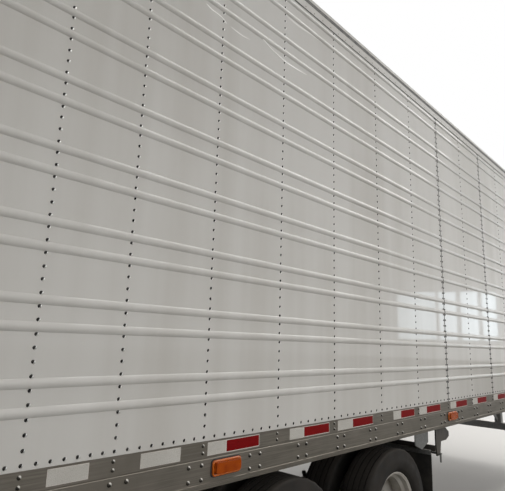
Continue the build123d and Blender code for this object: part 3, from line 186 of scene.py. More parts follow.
# %% Node helpers
def finish(name, colour, roughness=0.5, metallic=0.0, **more):
    """A material with one Principled shader and its plain values."""
    material = bpy.data.materials.new(name)
    material.use_nodes = True
    material.diffuse_color = (*colour, 1)
    plain = {"Base Color": (*colour, 1), "Roughness": roughness, "Metallic": metallic}
    plain.update({label.replace("_", " "): value for label, value in more.items()})
    for label, value in plain.items():
        shader_of(material).inputs[label].default_value = value
    return material


def shader_of(material):
    """The material's Principled shader."""
    return material.node_tree.nodes["Principled BSDF"]


def feed(material, target, value):
    """Link a socket to an input, or set the input to a plain value."""
    if isinstance(value, bpy.types.NodeSocket):
        material.node_tree.links.new(value, target)
    else:
        target.default_value = value


def add_node(material, kind, into, **settings):
    """One shader node with its settings, and its inputs fed by name or number."""
    node = material.node_tree.nodes.new("ShaderNode" + kind)
    for label, value in settings.items():
        setattr(node, label, value)
    for label, value in into.items():
        feed(material, node.inputs[label], value)
    return node


def place_of(material, stretch=(1, 1, 1)):
    """The surface point in the object's metres, stretched along an axis."""
    where = add_node(material, "TexCoord", {}).outputs["Object"]
    return add_node(material, "Mapping", {"Vector": where, "Scale": stretch}).outputs["Vector"]


def spots(material, scale, detail=4.0, stretch=(1, 1, 1)):
    """Noise from 0 to 1; scale is how many spots lie in a metre."""
    into = {"Scale": scale, "Detail": detail, "Vector": place_of(material, stretch)}
    return add_node(material, "TexNoise", into).outputs["Fac"]


def spread(material, value, low=0.0, high=1.0, start=0.3, end=0.7):
    """Carry a value from the range start to end into the range low to high."""
    into = {"Value": value, "From Min": start, "From Max": end, "To Min": low, "To Max": high}
    return add_node(material, "MapRange", into, interpolation_type="SMOOTHSTEP").outputs["Result"]


def between(material, value, first, second):
    """Mix two colours, each plain or from a socket, by a value."""
    first, second = (c if isinstance(c, bpy.types.NodeSocket) else (*c, 1) for c in (first, second))
    factor, colour_a, colour_b, colour_out = 0, 6, 7, 2
    into = {factor: value, colour_a: first, colour_b: second}
    return add_node(material, "Mix", into, data_type="RGBA").outputs[colour_out]


def product(material, first, second, kind="MULTIPLY"):
    """Two values multiplied, or joined by another kind of sum."""
    return add_node(material, "Math", {0: first, 1: second}, operation=kind).outputs["Value"]


print("node helpers ready")

# %% [markdown]
# ## Bumps, directions and dust
# A pattern reaches the eye as a colour, as a change of gloss or as a bump. Dust and
# road film lie where a surface faces the right way, so `facing` compares each
# point's own direction with a given one, and `dusty` lays dust by it.

# %% Surface helpers
def relief(material, height, strength, distance):
    """Bump the surface; distance is the real depth in metres."""
    into = {"Height": height, "Strength": strength, "Distance": distance}
    bump = add_node(material, "Bump", into)
    normal = shader_of(material).inputs["Normal"]
    if normal.is_linked:
        feed(material, bump.inputs["Normal"], normal.links[0].from_socket)
    feed(material, normal, bump.outputs["Normal"])


def paint_with(material, colour, roughness=None):
    """Feed the shader's colour, and its roughness where that varies too."""
    feed(material, shader_of(material).inputs["Base Color"], colour)
    if roughness is not None:
        feed(material, shader_of(material).inputs["Roughness"], roughness)


def side_depth(material):
    """How far the surface point lies from the trailer's middle plane, with its sign."""
    return add_node(material, "SeparateXYZ", {"Vector": place_of(material)}).outputs["Y"]


def facing(material, aim, start, end):
    """1 where the surface looks along a direction, 0 where it looks past it."""
    normal = add_node(material, "NewGeometry", {}).outputs["Normal"]
    toward = add_node(material, "VectorMath", {0: normal, 1: aim}, operation="DOT_PRODUCT")
    return spread(material, toward.outputs["Value"], start=start, end=end)


def dusty(material, colour, dust, amount, scale=6.0):
    """Lay dust over a colour: more on faces that look up, in soft patches."""
    patches = spread(material, spots(material, scale), 0.15 * amount, amount)
    lying = product(material, facing(material, (0, 0, 1), 0.2, 0.9), 0.7)
    both = product(material, patches, lying, "MAXIMUM")
    return between(material, both, colour, dust)


print("surface helpers ready")

# %% [markdown]
# ## White paint on the ribbed skin
# The skin is painted sheet, glossy but not a mirror. Between its rivet rows thin
# sheet is never quite flat, so reflections in it wander. A very shallow bump with
# waves about half a metre long gives that. Dust settles in faint streaks that run
# down, and the same solid is lined with plywood inside, so the finish changes
# from paint to wood at the depth of the lining.

# %% Paint of the skin
paint_white = (0.56, 0.55, 0.525)
paint_dull = (0.49, 0.475, 0.445)
skin_gloss = 0.24
lining_depth = 0.045


def streaked_paint(name, colour, gloss, coat=0.6):
    """White paint with soft waves, run-down streaks and thin dust."""
    material = finish(name, colour, gloss, Coat_Weight=coat, Coat_Roughness=0.03,
                      Coat_IOR=1.4, Specular_IOR_Level=0.02)
    streaks = spots(material, 5.0, 6.0, (1.0, 1.0, 0.06))
    clouds = spots(material, 0.7, 3.0)
    soft = spread(material, product(material, streaks, clouds), start=0.12, end=0.42)
    paint_with(material, between(material, soft, colour, paint_dull),
               spread(material, clouds, gloss * 0.8, gloss * 1.05))
    relief(material, spots(material, 1.6, 1.0, (1.0, 1.0, 0.8)), 0.5, 0.0012)
    relief(material, spots(material, 260.0, 2.0), 0.06, 0.0002)
    return material


def painted_over(material):
    """The colour that the shader is fed so far."""
    return shader_of(material).inputs["Base Color"].links[0].from_socket


def lined_wall(name):
    """Paint outside, plywood lining inside, told apart by depth in the wall."""
    material = streaked_paint(name, paint_white, skin_gloss)
    away = add_node(material, "Math", {0: side_depth(material)}, operation="ABSOLUTE")
    inside = spread(material, away.outputs["Value"], 1.0, 0.0, skin_y - lining_depth + 0.0005,
                    skin_y - lining_depth + 0.002)
    grain = spread(material, spots(material, 9.0, 8.0, (4.0, 4.0, 0.25)))
    wood = between(material, grain, (0.46, 0.31, 0.17), (0.34, 0.21, 0.10))
    paint_with(material, between(material, inside, painted_over(material), wood))
    return material


wall_paint = lined_wall("wall_paint")
plain_paint = streaked_paint("body_paint", paint_white, 0.26)
door_paint = streaked_paint("door_paint", (0.58, 0.57, 0.55), 0.25)
print("paints:", wall_paint.name, plain_paint.name, door_paint.name)

# %% [markdown]
# ## Dulled aluminium on the rails
# The rails are extruded aluminium left bare. Years of washing turn it grey and
# patchy, with fine lines along its length from the die. Noise stretched fifty
# times along X gives the lines, and larger spots give the patches.

# %% Bare metals
def drawn_metal(name, bright, dark, roughness, along=(0.02, 1.0, 1.0)):
    """Metal with fine lines along one direction, patches and dust."""
    material = finish(name, bright, roughness, 0.75)
    lines = spots(material, 220.0, 3.0, along)
    patches = spots(material, 3.0, 8.0, (0.5, 1.0, 1.0))
    tone = spread(material, product(material, lines, patches), start=0.15, end=0.4)
    shade = dusty(material, between(material, tone, dark, bright), (0.30, 0.27, 0.23), 0.35)
    paint_with(material, shade, spread(material, patches, roughness * 1.2, roughness * 0.8))
    relief(material, lines, 0.12, 0.0003)
    return material


def cells_of(material, scale, feature="F1"):
    """Close-packed cells, so many in a metre."""
    return add_node(material, "TexVoronoi", {"Scale": scale, "Vector": place_of(material)},
                    feature=feature)


def spangled(name, bright, dark, roughness=0.42):
    """Galvanised steel: crystals of zinc that catch the light one by one."""
    material = finish(name, bright, roughness, 0.85)
    crystals = cells_of(material, 90.0).outputs["Color"]
    tone = add_node(material, "SeparateColor", {"Color": crystals}).outputs["Red"]
    wear = spots(material, 5.0, 8.0)
    shade = dusty(material, between(material, tone, dark, bright), (0.26, 0.23, 0.19), 0.45, 5.0)
    paint_with(material, shade, spread(material, wear, roughness * 0.8, roughness * 1.3))
    relief(material, wear, 0.15, 0.0006)
    return material


rail_metal = drawn_metal("rail_metal", (0.26, 0.24, 0.205), (0.165, 0.15, 0.125), 0.42)
frame_metal = drawn_metal("rear_frame_metal", (0.36, 0.35, 0.33), (0.24, 0.23, 0.21), 0.4,
                          (1.0, 1.0, 0.02))
zinc = spangled("zinc_steel", (0.42, 0.43, 0.43), (0.30, 0.31, 0.31))
print("metals:", rail_metal.name, frame_metal.name, zinc.name)

# %% [markdown]
# ## Black paint, rust and dust under the floor
# Under the floor everything is black paint under road dust, or bare forged steel
# that has browned. One function serves both: two colours mixed by large spots,
# rust where small spots peak, dust on what looks up, and a rough bump.

# %% Finishes under the floor
def road_worn(name, colour, worn, roughness, rust=0.25, dust=(0.20, 0.175, 0.145), bumps=0.35):
    """Painted or forged steel with rust specks and road dust."""
    material = finish(name, colour, roughness)
    large, small = spots(material, 4.0, 6.0), spots(material, 45.0, 8.0)
    shade = between(material, spread(material, large), colour, worn)
    specks = spread(material, product(material, small, large), start=0.36 - 0.12 * rust, end=0.44)
    shade = between(material, product(material, specks, rust), shade, (0.16, 0.065, 0.025))
    paint_with(material, dusty(material, shade, dust, 0.55),
               spread(material, large, roughness * 0.75, min(roughness * 1.3, 0.95)))
    relief(material, small, bumps, 0.0008)
    return material


chassis_black = road_worn("chassis_paint", (0.016, 0.016, 0.018), (0.034, 0.032, 0.029), 0.5,
                          0.25, (0.10, 0.088, 0.073))
spring_steel = road_worn("spring_steel", (0.05, 0.044, 0.038), (0.09, 0.072, 0.056), 0.6, 0.7)
brake_iron = road_worn("brake_iron", (0.11, 0.08, 0.06), (0.17, 0.10, 0.06), 0.7, 0.9)
wheel_paint = road_worn("wheel_paint", (0.52, 0.51, 0.48), (0.36, 0.34, 0.30), 0.4, 0.12,
                        (0.26, 0.23, 0.19), 0.15)
print("undercarriage finishes:", chassis_black.name, spring_steel.name, brake_iron.name)

# %% [markdown]
# ## Rubber
# Tyre rubber is near black only where it is new. In use it greys, and dust lies in
# its grooves. Flaps and bumpers are the same stuff, cut from sheet.

# %% Rubber
def old_rubber(name, colour, dust, amount, roughness=0.78):
    """Greyed rubber with dust in its hollows."""
    material = finish(name, colour, roughness, Specular_IOR_Level=0.2)
    grime, fine = spots(material, 14.0, 8.0), spots(material, 300.0, 3.0)
    shade = between(material, spread(material, grime, 0.0, amount), colour, dust)
    paint_with(material, dusty(material, shade, dust, amount),
               spread(material, grime, roughness * 0.85, 0.95))
    relief(material, fine, 0.2, 0.0004)
    return material


tyre_rubber = old_rubber("tyre_rubber", (0.010, 0.0095, 0.009), (0.06, 0.053, 0.046), 0.25)
flap_rubber = old_rubber("flap_rubber", (0.012, 0.012, 0.012), (0.08, 0.072, 0.062), 0.35)
seal_rubber = old_rubber("seal_rubber", (0.015, 0.015, 0.016), (0.07, 0.065, 0.06), 0.3, 0.6)
print("rubbers:", tyre_rubber.name, flap_rubber.name, seal_rubber.name)

# %% [markdown]
# ## Lamp glass
# The lenses are moulded plastic, ribbed inside to scatter the light of the bulb.
# Clear colour with some light passing through, a smooth outer face and a ribbed
# bump under it reads as a lens. The ribs also mix the colour from deep to clear in
# fine bands, which looks like light held inside, with no lamp behind it.

# %% Lenses
def lens(name, colour, deep, ribs_per_metre=160.0):
    """Moulded lens with upright prisms."""
    material = finish(name, colour, 0.16, Specular_IOR_Level=0.3, IOR=1.49,
                      Transmission_Weight=0.12)
    into = {"Scale": ribs_per_metre, "Distortion": 0.0, "Vector": place_of(material)}
    bands = add_node(material, "TexWave", into, bands_direction="X", wave_profile="SIN")
    ribs = bands.outputs["Fac"]
    tone = spread(material, product(material, ribs, spots(material, 30.0, 4.0)), start=0.1, end=0.6)
    paint_with(material, between(material, tone, deep, colour))
    relief(material, ribs, 0.25, 0.0008)
    return material


amber_glass = lens("amber_lens", (0.50, 0.096, 0.003), (0.26, 0.036, 0.001))
red_glass = lens("red_lens", (0.42, 0.012, 0.010), (0.20, 0.004, 0.004))
lamp_plastic = road_worn("lamp_plastic", (0.085, 0.078, 0.07), (0.14, 0.125, 0.11), 0.45, 0.0,
                         (0.20, 0.18, 0.15), 0.1)
print("lenses:", amber_glass.name, red_glass.name)

# %% [markdown]
# ## Hardwood floor
# The floor is laminated hardwood: strips about 32 mm wide, glued edge to edge and
# running the length of the trailer. A brick texture gives each strip its own tone
# and a dark glue line. Lengthways noise gives the grain.

# %% Floor
def strip_floor(name, pale, dark, strip=0.032, run=1.1):
    """Glued strips of wood that run along X."""
    material = finish(name, pale, 0.45, Coat_Weight=0.1)
    into = {"Color1": (*pale, 1), "Color2": (*dark, 1), "Mortar": (0.05, 0.03, 0.02, 1),
            "Scale": 1.0, "Brick Width": run, "Row Height": strip, "Mortar Size": 0.0006,
            "Vector": place_of(material)}
    strips = add_node(material, "TexBrick", into).outputs["Color"]
    grain = spots(material, 30.0, 8.0, (0.06, 1.0, 1.0))
    paint_with(material, between(material, spread(material, grain, 0.0, 0.6), strips, dark),
               spread(material, grain, 0.35, 0.6))
    relief(material, grain, 0.15, 0.0006)
    return material


floor_wood = strip_floor("floor_wood", (0.36, 0.22, 0.11), (0.25, 0.14, 0.065))
print("floor:", floor_wood.name)

# %% [markdown]
# ## Give every solid its finish
# The record names a material slot for each node. A short table pairs each slot
# with a finish made above, and one loop dresses all the solids. Their shapes are
# not touched.

# %% Dress the solids
slot_finish = {
    "skin_white": plain_paint, "rail_aluminium": rail_metal, "rear_frame_steel": frame_metal,
    "floor_wood": floor_wood, "chassis_black": chassis_black, "galvanised": zinc,
    "spring_steel": spring_steel, "brake_iron": brake_iron, "wheel_white": wheel_paint,
    "tyre_rubber": tyre_rubber, "flap_rubber": flap_rubber, "amber_lens": amber_glass,
    "red_lens": red_glass, "lamp_base_grey": lamp_plastic,
}
node_finish = {
    "left_wall": wall_paint, "right_wall": wall_paint, "left_door": door_paint,
    "right_door": door_paint, "top_rails": plain_paint,
}
for row in frame["record"]["subparts"]:
    node = nodes[row["node"]]
    node.data.materials.clear()
    node.data.materials.append(node_finish.get(row["node"]) or slot_finish[row["material_slot"]])

# %% [markdown]
# ## Curved solids are shaded smooth
# The frame arrives as flat facets. A custom normal edge angle keeps corners sharp
# while ribs, tyres and rods look round. It changes shading only, not the mesh.

# %% Smooth shading
crease = math.radians(32)


def shade_by_angle(piece):
    """Smooth faces that meet under an angle, and keep sharper edges."""
    piece.data.shade_smooth()
    piece.data.set_sharp_from_angle(angle=crease)


for node in nodes.values():
    shade_by_angle(node)
print("smooth shading set on", len(nodes), "solids")

# %% [markdown]
# ## Many small heads from one shape
# The sides hold thousands of rivets. Modelling each as its own object would be
# slow, so one small head is made once and its points are copied to every place in
# a single mesh. `heading` gives the turn that sets a head's foot on a surface,
# with its top facing outward, and `grid_faces` joins rows of points into a skin.

# %% Small shapes
def heading(place, outward, spin=0.0):
    """The 4x4 place of a shape whose +Z is to face outward at a point."""
    turned = Vector(outward).to_track_quat("Z", "Y").to_matrix().to_4x4()
    return Matrix.Translation(place) @ turned @ Matrix.Rotation(spin, 4, "Z")


def on_side(x, y, z, side):
    """A head's place at some depth of one side, facing out."""
    return heading((x, y * side, z), (0, side, 0))


def on_back(x, y, z):
    """A head's place on a face that looks to the rear."""
    return heading((x, y, z), (-1, 0, 0))


def grid_faces(rows, across, loop_rows=False, loop_across=False):
    """Faces between rows of points, closed round in a direction where asked."""
    faces = []
    for row in range(rows if loop_rows else rows - 1):
        near, far = row * across, (row + 1) % rows * across
        for n in range(across if loop_across else across - 1):
            after = (n + 1) % across
            faces.append((near + n, near + after, far + after, far + n))
    return faces


def merged(shapes):
    """Points and faces of several shapes as one."""
    points, faces = [], []
    for more_points, more_faces in shapes:
        faces += [tuple(i + len(points) for i in f) for f in more_faces]
        points += list(more_points)
    return points, faces


def turned_shape(rings, around):
    """Points and faces of a small turned shape, from (radius, height) rings."""
    angles = [2 * math.pi * step / around for step in range(around)]
    points = [(r * math.cos(a), r * math.sin(a), height) for r, height in rings for a in angles]
    faces = grid_faces(len(rings), around, loop_across=True)
    return points, faces + [tuple(range(len(points) - around, len(points)))]


def dome(radius, height, around=10):
    """A round head, steep at its foot and flat on top."""
    rings = ((1.0, 0.0), (0.92, 0.45), (0.62, 0.85), (0.22, 1.0))
    return turned_shape([(radius * out, height * up) for out, up in rings], around)


def hexagon(across, height, washer=0.0):
    """A hexagon head or nut, on a round washer if it has one."""
    corner = across / math.sqrt(3)
    shapes = [turned_shape([(corner, 0.0), (corner, height * 0.85), (corner * 0.86, height)], 6)]
    if washer:
        shapes.append(turned_shape([(washer, 0.0), (washer, height * 0.2)], 16))
    return merged(shapes)


print("points in a round head:", len(dome(1.0, 1.0)[0]))

# %% [markdown]
# ## A piece rides on a body
# Every piece is one mesh that rides on a body of the trailer, so it moves with a
# door, the tandem or a wheel. `stamped` makes such a piece from many copies of one
# small shape.

# %% Pieces from shapes
def new_piece(name, points, faces, body, material, slot=None, smooth=True):
    """One mesh object that rides on a body."""
    mesh = bpy.data.meshes.new(name)
    mesh.from_pydata([tuple(p) for p in points], [], faces)
    mesh.validate()
    mesh.materials.append(material)
    piece = add_object(name, mesh)
    if smooth:
        shade_by_angle(piece)
    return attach(piece, body)


def stamped(name, shape, places, body, material):
    """One mesh from copies of a small shape, one copy at each place."""
    points = np.array(shape[0])
    copies = [points @ np.array(m)[:3, :3].T + np.array(m)[:3, 3] for m in places]
    faces = [tuple(i + n * len(points) for i in f) for n in range(len(places)) for f in shape[1]]
    new_piece(name, np.concatenate(copies), faces, body, material)
    print(name, len(places), "copies,", len(faces), "faces")


print("piece helpers ready")

# %% [markdown]
# ## Rivet heads on white paint
# The heads are dark bare metal on white paint. The side of each head that looks to
# the rear and down is painted pale, a painted highlight, so a head reads as a dark dot
# with a pale edge.

# %% Rivet metal
def head_metal(name, colour, dark_tones, gloss, metallic, grain, highlight_aim=None, highlight_colour=None):
    """Metal of a small head in random dark tones, with a painted highlight on one side where an aim
    is given.
    """
    scale, detail, fine_scale, bump = grain
    plain_gloss, low_gloss, high_gloss = gloss
    material = finish(name, colour, plain_gloss, metallic)
    tone = spots(material, scale, detail)
    shade = between(material, spread(material, tone), *dark_tones)
    # Painted highlight: faces that look along the aim take the pale highlight colour.
    if highlight_aim:
        shade = between(material, facing(material, highlight_aim, 0.06, 0.2), shade, highlight_colour)
    paint_with(material, shade, spread(material, tone, low_gloss, high_gloss))
    relief(material, spots(material, fine_scale, 2.0), bump, 0.0002)
    return material


# Directions of the painted highlights on the rivet heads and on the rail bolts.
rivet_highlight_aim, bolt_highlight_aim = (-0.87, 0.0, -0.5), (-0.75, 0.0, 0.66)
rivet_metal = head_metal("rivet_metal", (0.05, 0.048, 0.045),
                         ((0.018, 0.017, 0.016), (0.045, 0.042, 0.039)), (0.3, 0.25, 0.4),
                         0.85, (40.0, 3.0, 400.0, 0.1), rivet_highlight_aim, (0.88, 0.87, 0.85))
print("metal of the heads:", rivet_metal.name)

# %% [markdown]
# ## Rivet rows along the posts
# Behind the skin stand upright posts, 24 inches apart at the rear and 18 inches
# further forward. Each post is riveted through the skin every 2 inches, and the
# ribs pass between two rivets. A further row runs along the skin's lower edge.

# %% Rivet places
rear_bay, rear_bays, front_bays = 0.6096, 9, 22
middle_posts = (-1.927, -1.386, -0.907, -0.537)
sheet_seams = (-5.5366, -4.3174, 1.3722, 4.6234)
seam_side, seam_reach, long_bay = 0.019, 0.2, 0.45
rivet_pitch, low_rivet = 0.0508, 0.0177
stray_x, stray_z, rivet_seed = 0.001, 0.002, 7

# X of every post, from the rear frame to the nose.
posts = [wall_rear + n * rear_bay for n in range(rear_bays + 1)] + list(middle_posts)
front_bay = (wall_front - posts[-1]) / front_bays
posts += [posts[-1] + n * front_bay for n in range(1, front_bays + 1)]
# X of every rivet column: two beside a seam, one at other posts.
seam_columns = [x + out for x in sheet_seams for out in (-seam_side, seam_side)]
post_columns = [x for x in posts[1:-1] if min(abs(x - s) for s in sheet_seams) > seam_reach]
columns = sorted([wall_rear + seam_side, wall_front - seam_side] + seam_columns + post_columns)


def skin_rivets(side):
    """Places of the rivets of one side: upright rows and the edge row."""
    hand = random.Random(rivet_seed)
    first_z = skin_bottom + low_rivet
    places = []
    for x in columns:
        for n in range(int((skin_top - first_z) / rivet_pitch) + 1):
            set_x = x + hand.uniform(-stray_x, stray_x)
            off = hand.uniform(-stray_z, stray_z) if n else 0
            places.append(on_side(set_x, skin_y, first_z + n * rivet_pitch + off, side))
    for near, far in zip(columns, columns[1:]):
        steps = 8 if far - near > long_bay else 7
        if far - near > 3 * seam_side:
            places += [on_side(near + n * (far - near) / steps, skin_y, first_z, side)
                       for n in range(1, steps)]
    return places


for side_name, side in sides.items():
    stamped(f"{side_name}_skin_rivets", dome(0.0078, 0.0042), skin_rivets(side),
            "trailer_body", rivet_metal)

# %% [markdown]
# ## Seams where two skin sheets meet
# The skin comes in sheets about 12 feet long that lap at a post. The lap shows as a
# dark upright line of sealant and shadow. It has to follow each rib over its crest,
# so its outline is worked out from the rib's own arc.

# %% Lap seams
rib_half, rib_low, rib_pair, rib_pitch, rib_pairs = 0.019, 0.1955, 0.1016, 0.3048, 9
rib_shares = (-1.0, -0.7, -0.35, 0.0, 0.35, 0.7, 1.0)
ribbon_half, ribbon_lift = 0.0075, 0.0005
# One dark serves for sealant and for painted shadow: the laps are both, and the band under the roof
# edge is painted shadow.
seam_dark = finish("sealant_and_painted_shadow", (0.035, 0.033, 0.03), 0.6)
seam_tone = spots(seam_dark, 25.0, 6.0)
paint_with(seam_dark, between(seam_dark, spread(seam_dark, seam_tone),
                              (0.02, 0.019, 0.018), (0.10, 0.095, 0.085)))
relief(seam_dark, seam_tone, 0.3, 0.0004)


def skin_outline():
    """(depth, z) points up the skin and over every rib."""
    radius = (rib_half ** 2 + rib_height ** 2) / (2 * rib_height)
    outline = [(0.0, skin_bottom)]
    for n in range(2 * rib_pairs):
        centre = skin_bottom + rib_low + n // 2 * rib_pitch + n % 2 * rib_pair
        for z in (share * rib_half for share in rib_shares):
            depth = math.sqrt(radius ** 2 - z ** 2) - (radius - rib_height)
            outline.append((depth, centre + z))
    return outline + [(0.0, skin_top)]


def ribbon_up_skin(x, side):
    """Points and faces of an upright ribbon that lies on the ribbed skin."""
    outline = skin_outline()
    points = [(x + out, (skin_y + depth + ribbon_lift) * side, z)
              for depth, z in outline for out in (-ribbon_half, ribbon_half)]
    faces = grid_faces(len(outline), 2)
    return points, faces if side < 0 else [f[::-1] for f in faces]


for side_name, side in sides.items():
    ribbons = [ribbon_up_skin(x, side) for x in sheet_seams]
    new_piece(f"{side_name}_skin_seams", *merged(ribbons), "trailer_body", seam_dark)
print("seams at", sheet_seams)

# %% [markdown]
# ## Rivets and bolts in the bottom rail
# The posts' feet are riveted through the rail's upper band, two rivets to a post.
# Every crossmember ends in a plate that is bolted to the rail's lower band by a
# square of four bolts, so their spacing shows where the crossmembers are. Each head
# is dark, and its side that looks to the rear and up is painted pale, a painted
# highlight.

# %% Rail fixings
fine_grain = (30.0, 6.0, 350.0, 0.12)
bolt_metal = head_metal("bolt_metal", (0.10, 0.092, 0.08),
                        ((0.05, 0.045, 0.038), (0.15, 0.14, 0.125)), (0.3, 0.22, 0.4),
                        0.8, fine_grain)
# These heads carry a painted highlight: pale on the side that looks to the rear and up.
rail_bolt_metal = head_metal("rail_bolt_metal", (0.07, 0.065, 0.056),
                             ((0.022, 0.02, 0.017), (0.065, 0.06, 0.051)), (0.34, 0.28, 0.42),
                             0.7, fine_grain, bolt_highlight_aim, (0.52, 0.50, 0.46))
beam_pitch, first_beam, last_bolt = 0.4064, wall_rear + 0.1296, wall_front - 0.43
rivet_drops, bolt_drops, bolt_half_gap = (0.022, 0.055), (0.108, 0.172), 0.039
lamp_clear = 0.02
lamp_xs = sorted({round(v.co.x, 2) for v in nodes["lamp_bases"].data.vertices})
beam_count = int((wall_front - first_beam) / beam_pitch) + 1
bolt_xs = [first_beam + n * beam_pitch + out for n in range(beam_count)
           for out in (-bolt_half_gap, bolt_half_gap)]
bolt_xs = [x for x in bolt_xs
           if x <= last_bolt and min(abs(x - lamp) for lamp in lamp_xs) >= lamp_clear]
rivet_xs = [min(max(x, wall_rear + seam_side), wall_front - seam_side) for x in posts]
for side_name, side in sides.items():
    for word, head, xs, drops in (("rivets", dome(0.0085, 0.0055), rivet_xs, rivet_drops),
                                  ("bolts", dome(0.0105, 0.0078), bolt_xs, bolt_drops)):
        places = [on_side(x, rail_y, skin_bottom - drop, side) for x in xs for drop in drops]
        stamped(f"{side_name}_rail_{word}", head, places, "trailer_body", rail_bolt_metal)

# %% [markdown]
# ## Tape, made of small cells
# Reflective tape is a sheet of small sealed cells under a clear film. Here each
# length is a thin box rather than a painted stripe, because its thickness catches
# light. The same thin boxes serve later for plates, strips and dark lines.

# %% Tape and thin boxes
def tape_material(name, colour, deep, roughness=0.32):
    """Tape of small sealed cells under a clear film."""
    material = finish(name, colour, roughness, Specular_IOR_Level=0.12)
    distance = cells_of(material, 150.0, "DISTANCE_TO_EDGE").outputs["Distance"]
    edge = spread(material, distance, start=0.0, end=0.08)
    grime = product(material, spread(material, spots(material, 8.0, 6.0)), 0.35)
    paint_with(material, between(material, grime, between(material, edge, deep, colour), deep))
    relief(material, edge, 0.1, 0.0002)
    return material


def thin_box(foot, top, flip):
    """A box with no hidden face, from the corners of its foot and of its top."""
    faces = [(4, 5, 6, 7), (0, 1, 5, 4), (1, 2, 6, 5), (2, 3, 7, 6), (3, 0, 4, 7)]
    return foot + top, [f[::-1] for f in faces] if flip else faces


def slab(x0, x1, y, z0, z1, side, thick, inset=0.0):
    """A thin box that lies on a side, its outer face a little smaller."""
    foot, top = ([(x, (y + depth) * side, z) for x, z in
                  ((x0 + off, z0 + off), (x1 - off, z0 + off), (x1 - off, z1 - off),
                   (x0 + off, z1 - off))] for depth, off in ((0.0, 0.0), (thick, inset)))
    return thin_box(foot, top, side * thick > 0)


def slab_back(near, far, z0, z1, x, thick, side=1):
    """A thin box on a face that looks to the rear, from one width to another."""
    y0, y1 = sorted((near * side, far * side))
    foot, top = ([(x - depth, y, z) for y, z in ((y0, z0), (y1, z0), (y1, z1), (y0, z1))]
                 for depth in (0.0, thick))
    return thin_box(foot, top, True)


tape_red = tape_material("tape_red", (0.20, 0.002, 0.003), (0.10, 0.0015, 0.002), 0.4)
tape_white = tape_material("tape_white", (0.50, 0.485, 0.45), (0.38, 0.365, 0.33))
tape_edge = tape_material("tape_edge", (0.62, 0.58, 0.54), (0.50, 0.46, 0.42))
print("tapes:", tape_red.name, tape_white.name, tape_edge.name)

# %% [markdown]
# ## Tape along the sides
# Strips of tape mark the length of the trailer at night: 7 inches of white and 11
# inches of red, again and again along the upper band of the rail. Each strip is
# sealed with a pale edge.

# %% Tape along the sides
tape_low, tape_high = skin_bottom - 0.070, skin_bottom - 0.010
tape_lift, red_rim, white_rim, tape_slope = 0.0006, 0.0035, 0.0021, 0.0002
# Columns: where a strip starts, where white ends, where red ends, all in metres
# behind the camera's own place along the side. A strip with no red has two.
measured_strips = (
    (0.861, 1.026, None), (1.262, 1.476, None), (1.640, 1.762, 2.006), (2.264, 2.395, 2.658),
    (2.754, 2.930, 3.198), (3.502, 3.620, 3.856), (3.948, 4.085, 4.369), (4.593, 4.723, 5.002),
    (5.149, 5.291, 5.559), (5.790, 5.925, 6.190), (6.380, 6.515, 6.790), (6.985, 7.120, 7.390),
    (7.585, 7.720, 7.995),
)
white_length, red_length, strip_pitch = 0.178, 0.279, 1.219
first_gap, nose_gap = 0.62, 0.1


def tape_strips():
    """(start, end, is red) of each length of tape along the side, in X."""
    near, strips = camera_place.x, []
    for start, middle, end in measured_strips:
        strips.append((near - middle, near - start, False))
        if end:
            strips.append((near - end, near - middle, True))
    x = near - measured_strips[0][0] + first_gap
    while x + white_length + red_length < wall_front - nose_gap:
        middle = x + red_length
        strips += [(x, middle, True), (middle, middle + white_length, False)]
        x += strip_pitch
    return strips


def tape_pieces(name, reds, whites, body):
    """The red and the white lengths of one run of tape, as two pieces."""
    new_piece(f"{name}_red", *merged(reds), body, tape_red, smooth=False)
    new_piece(f"{name}_white", *merged(whites), body, tape_white, smooth=False)


for side_name, side in sides.items():
    rims, reds, whites = [], [], []
    for x0, x1, is_red in tape_strips():
        rims.append(slab(x0, x1, rail_y, tape_low, tape_high, side, tape_lift / 2))
        rim = red_rim if is_red else white_rim
        (reds if is_red else whites).append(
            slab(x0 + rim, x1 - rim, rail_y + tape_lift / 2, tape_low + rim, tape_high - rim,
                 side, tape_lift, tape_slope))
    new_piece(f"{side_name}_tape_edges", *merged(rims), "trailer_body", tape_edge, smooth=False)
    tape_pieces(f"{side_name}_tape", reds, whites, "trailer_body")
print("tape strips a side:", len(tape_strips()))

# %% [markdown]
# ## Creases in the thin skin
# Sheet only a millimetre thick buckles a little between its posts. A crease shows
# as a wandering bright line, because its slope faces another part of the sky. Each
# one is a low ridge swept along a few points on the skin, with a soft bell section
# that fades to nothing at both ends, and its paint is made paler along its top: a
# painted highlight.
# Each row gives half its width, its height and its (x, z) points, in metres.

# %% Skin creases
creases = (
    (0.0095, 0.0032, ((-1.417, 3.559), (-1.478, 3.554), (-1.536, 3.550), (-1.592, 3.548),
                     (-1.641, 3.550), (-1.686, 3.542), (-1.733, 3.530), (-1.786, 3.510),
                     (-1.849, 3.498), (-1.919, 3.486), (-1.965, 3.483), (-2.012, 3.484),
                     (-2.087, 3.489), (-2.176, 3.497))),
    (0.0075, 0.0026, ((-1.248, 3.511), (-1.293, 3.496), (-1.338, 3.494), (-1.377, 3.487),
                     (-1.410, 3.470))),
    (0.0100, 0.0013, ((-1.433, 3.470), (-1.482, 3.465), (-1.541, 3.463), (-1.609, 3.472))),
    (0.0190, 0.0013, ((-1.910, 3.829), (-1.994, 3.821), (-2.093, 3.822), (-2.219, 3.835),
                     (-2.365, 3.844), (-2.507, 3.850), (-2.602, 3.847))),
)
bell = ((-1.0, 0.0), (-0.6, 0.22), (-0.3, 0.70), (0.0, 1.0), (0.3, 0.70), (0.6, 0.22), (1.0, 0.0))
bell_sink, pale_height, curve_steps = 0.0001, 0.0016, 6


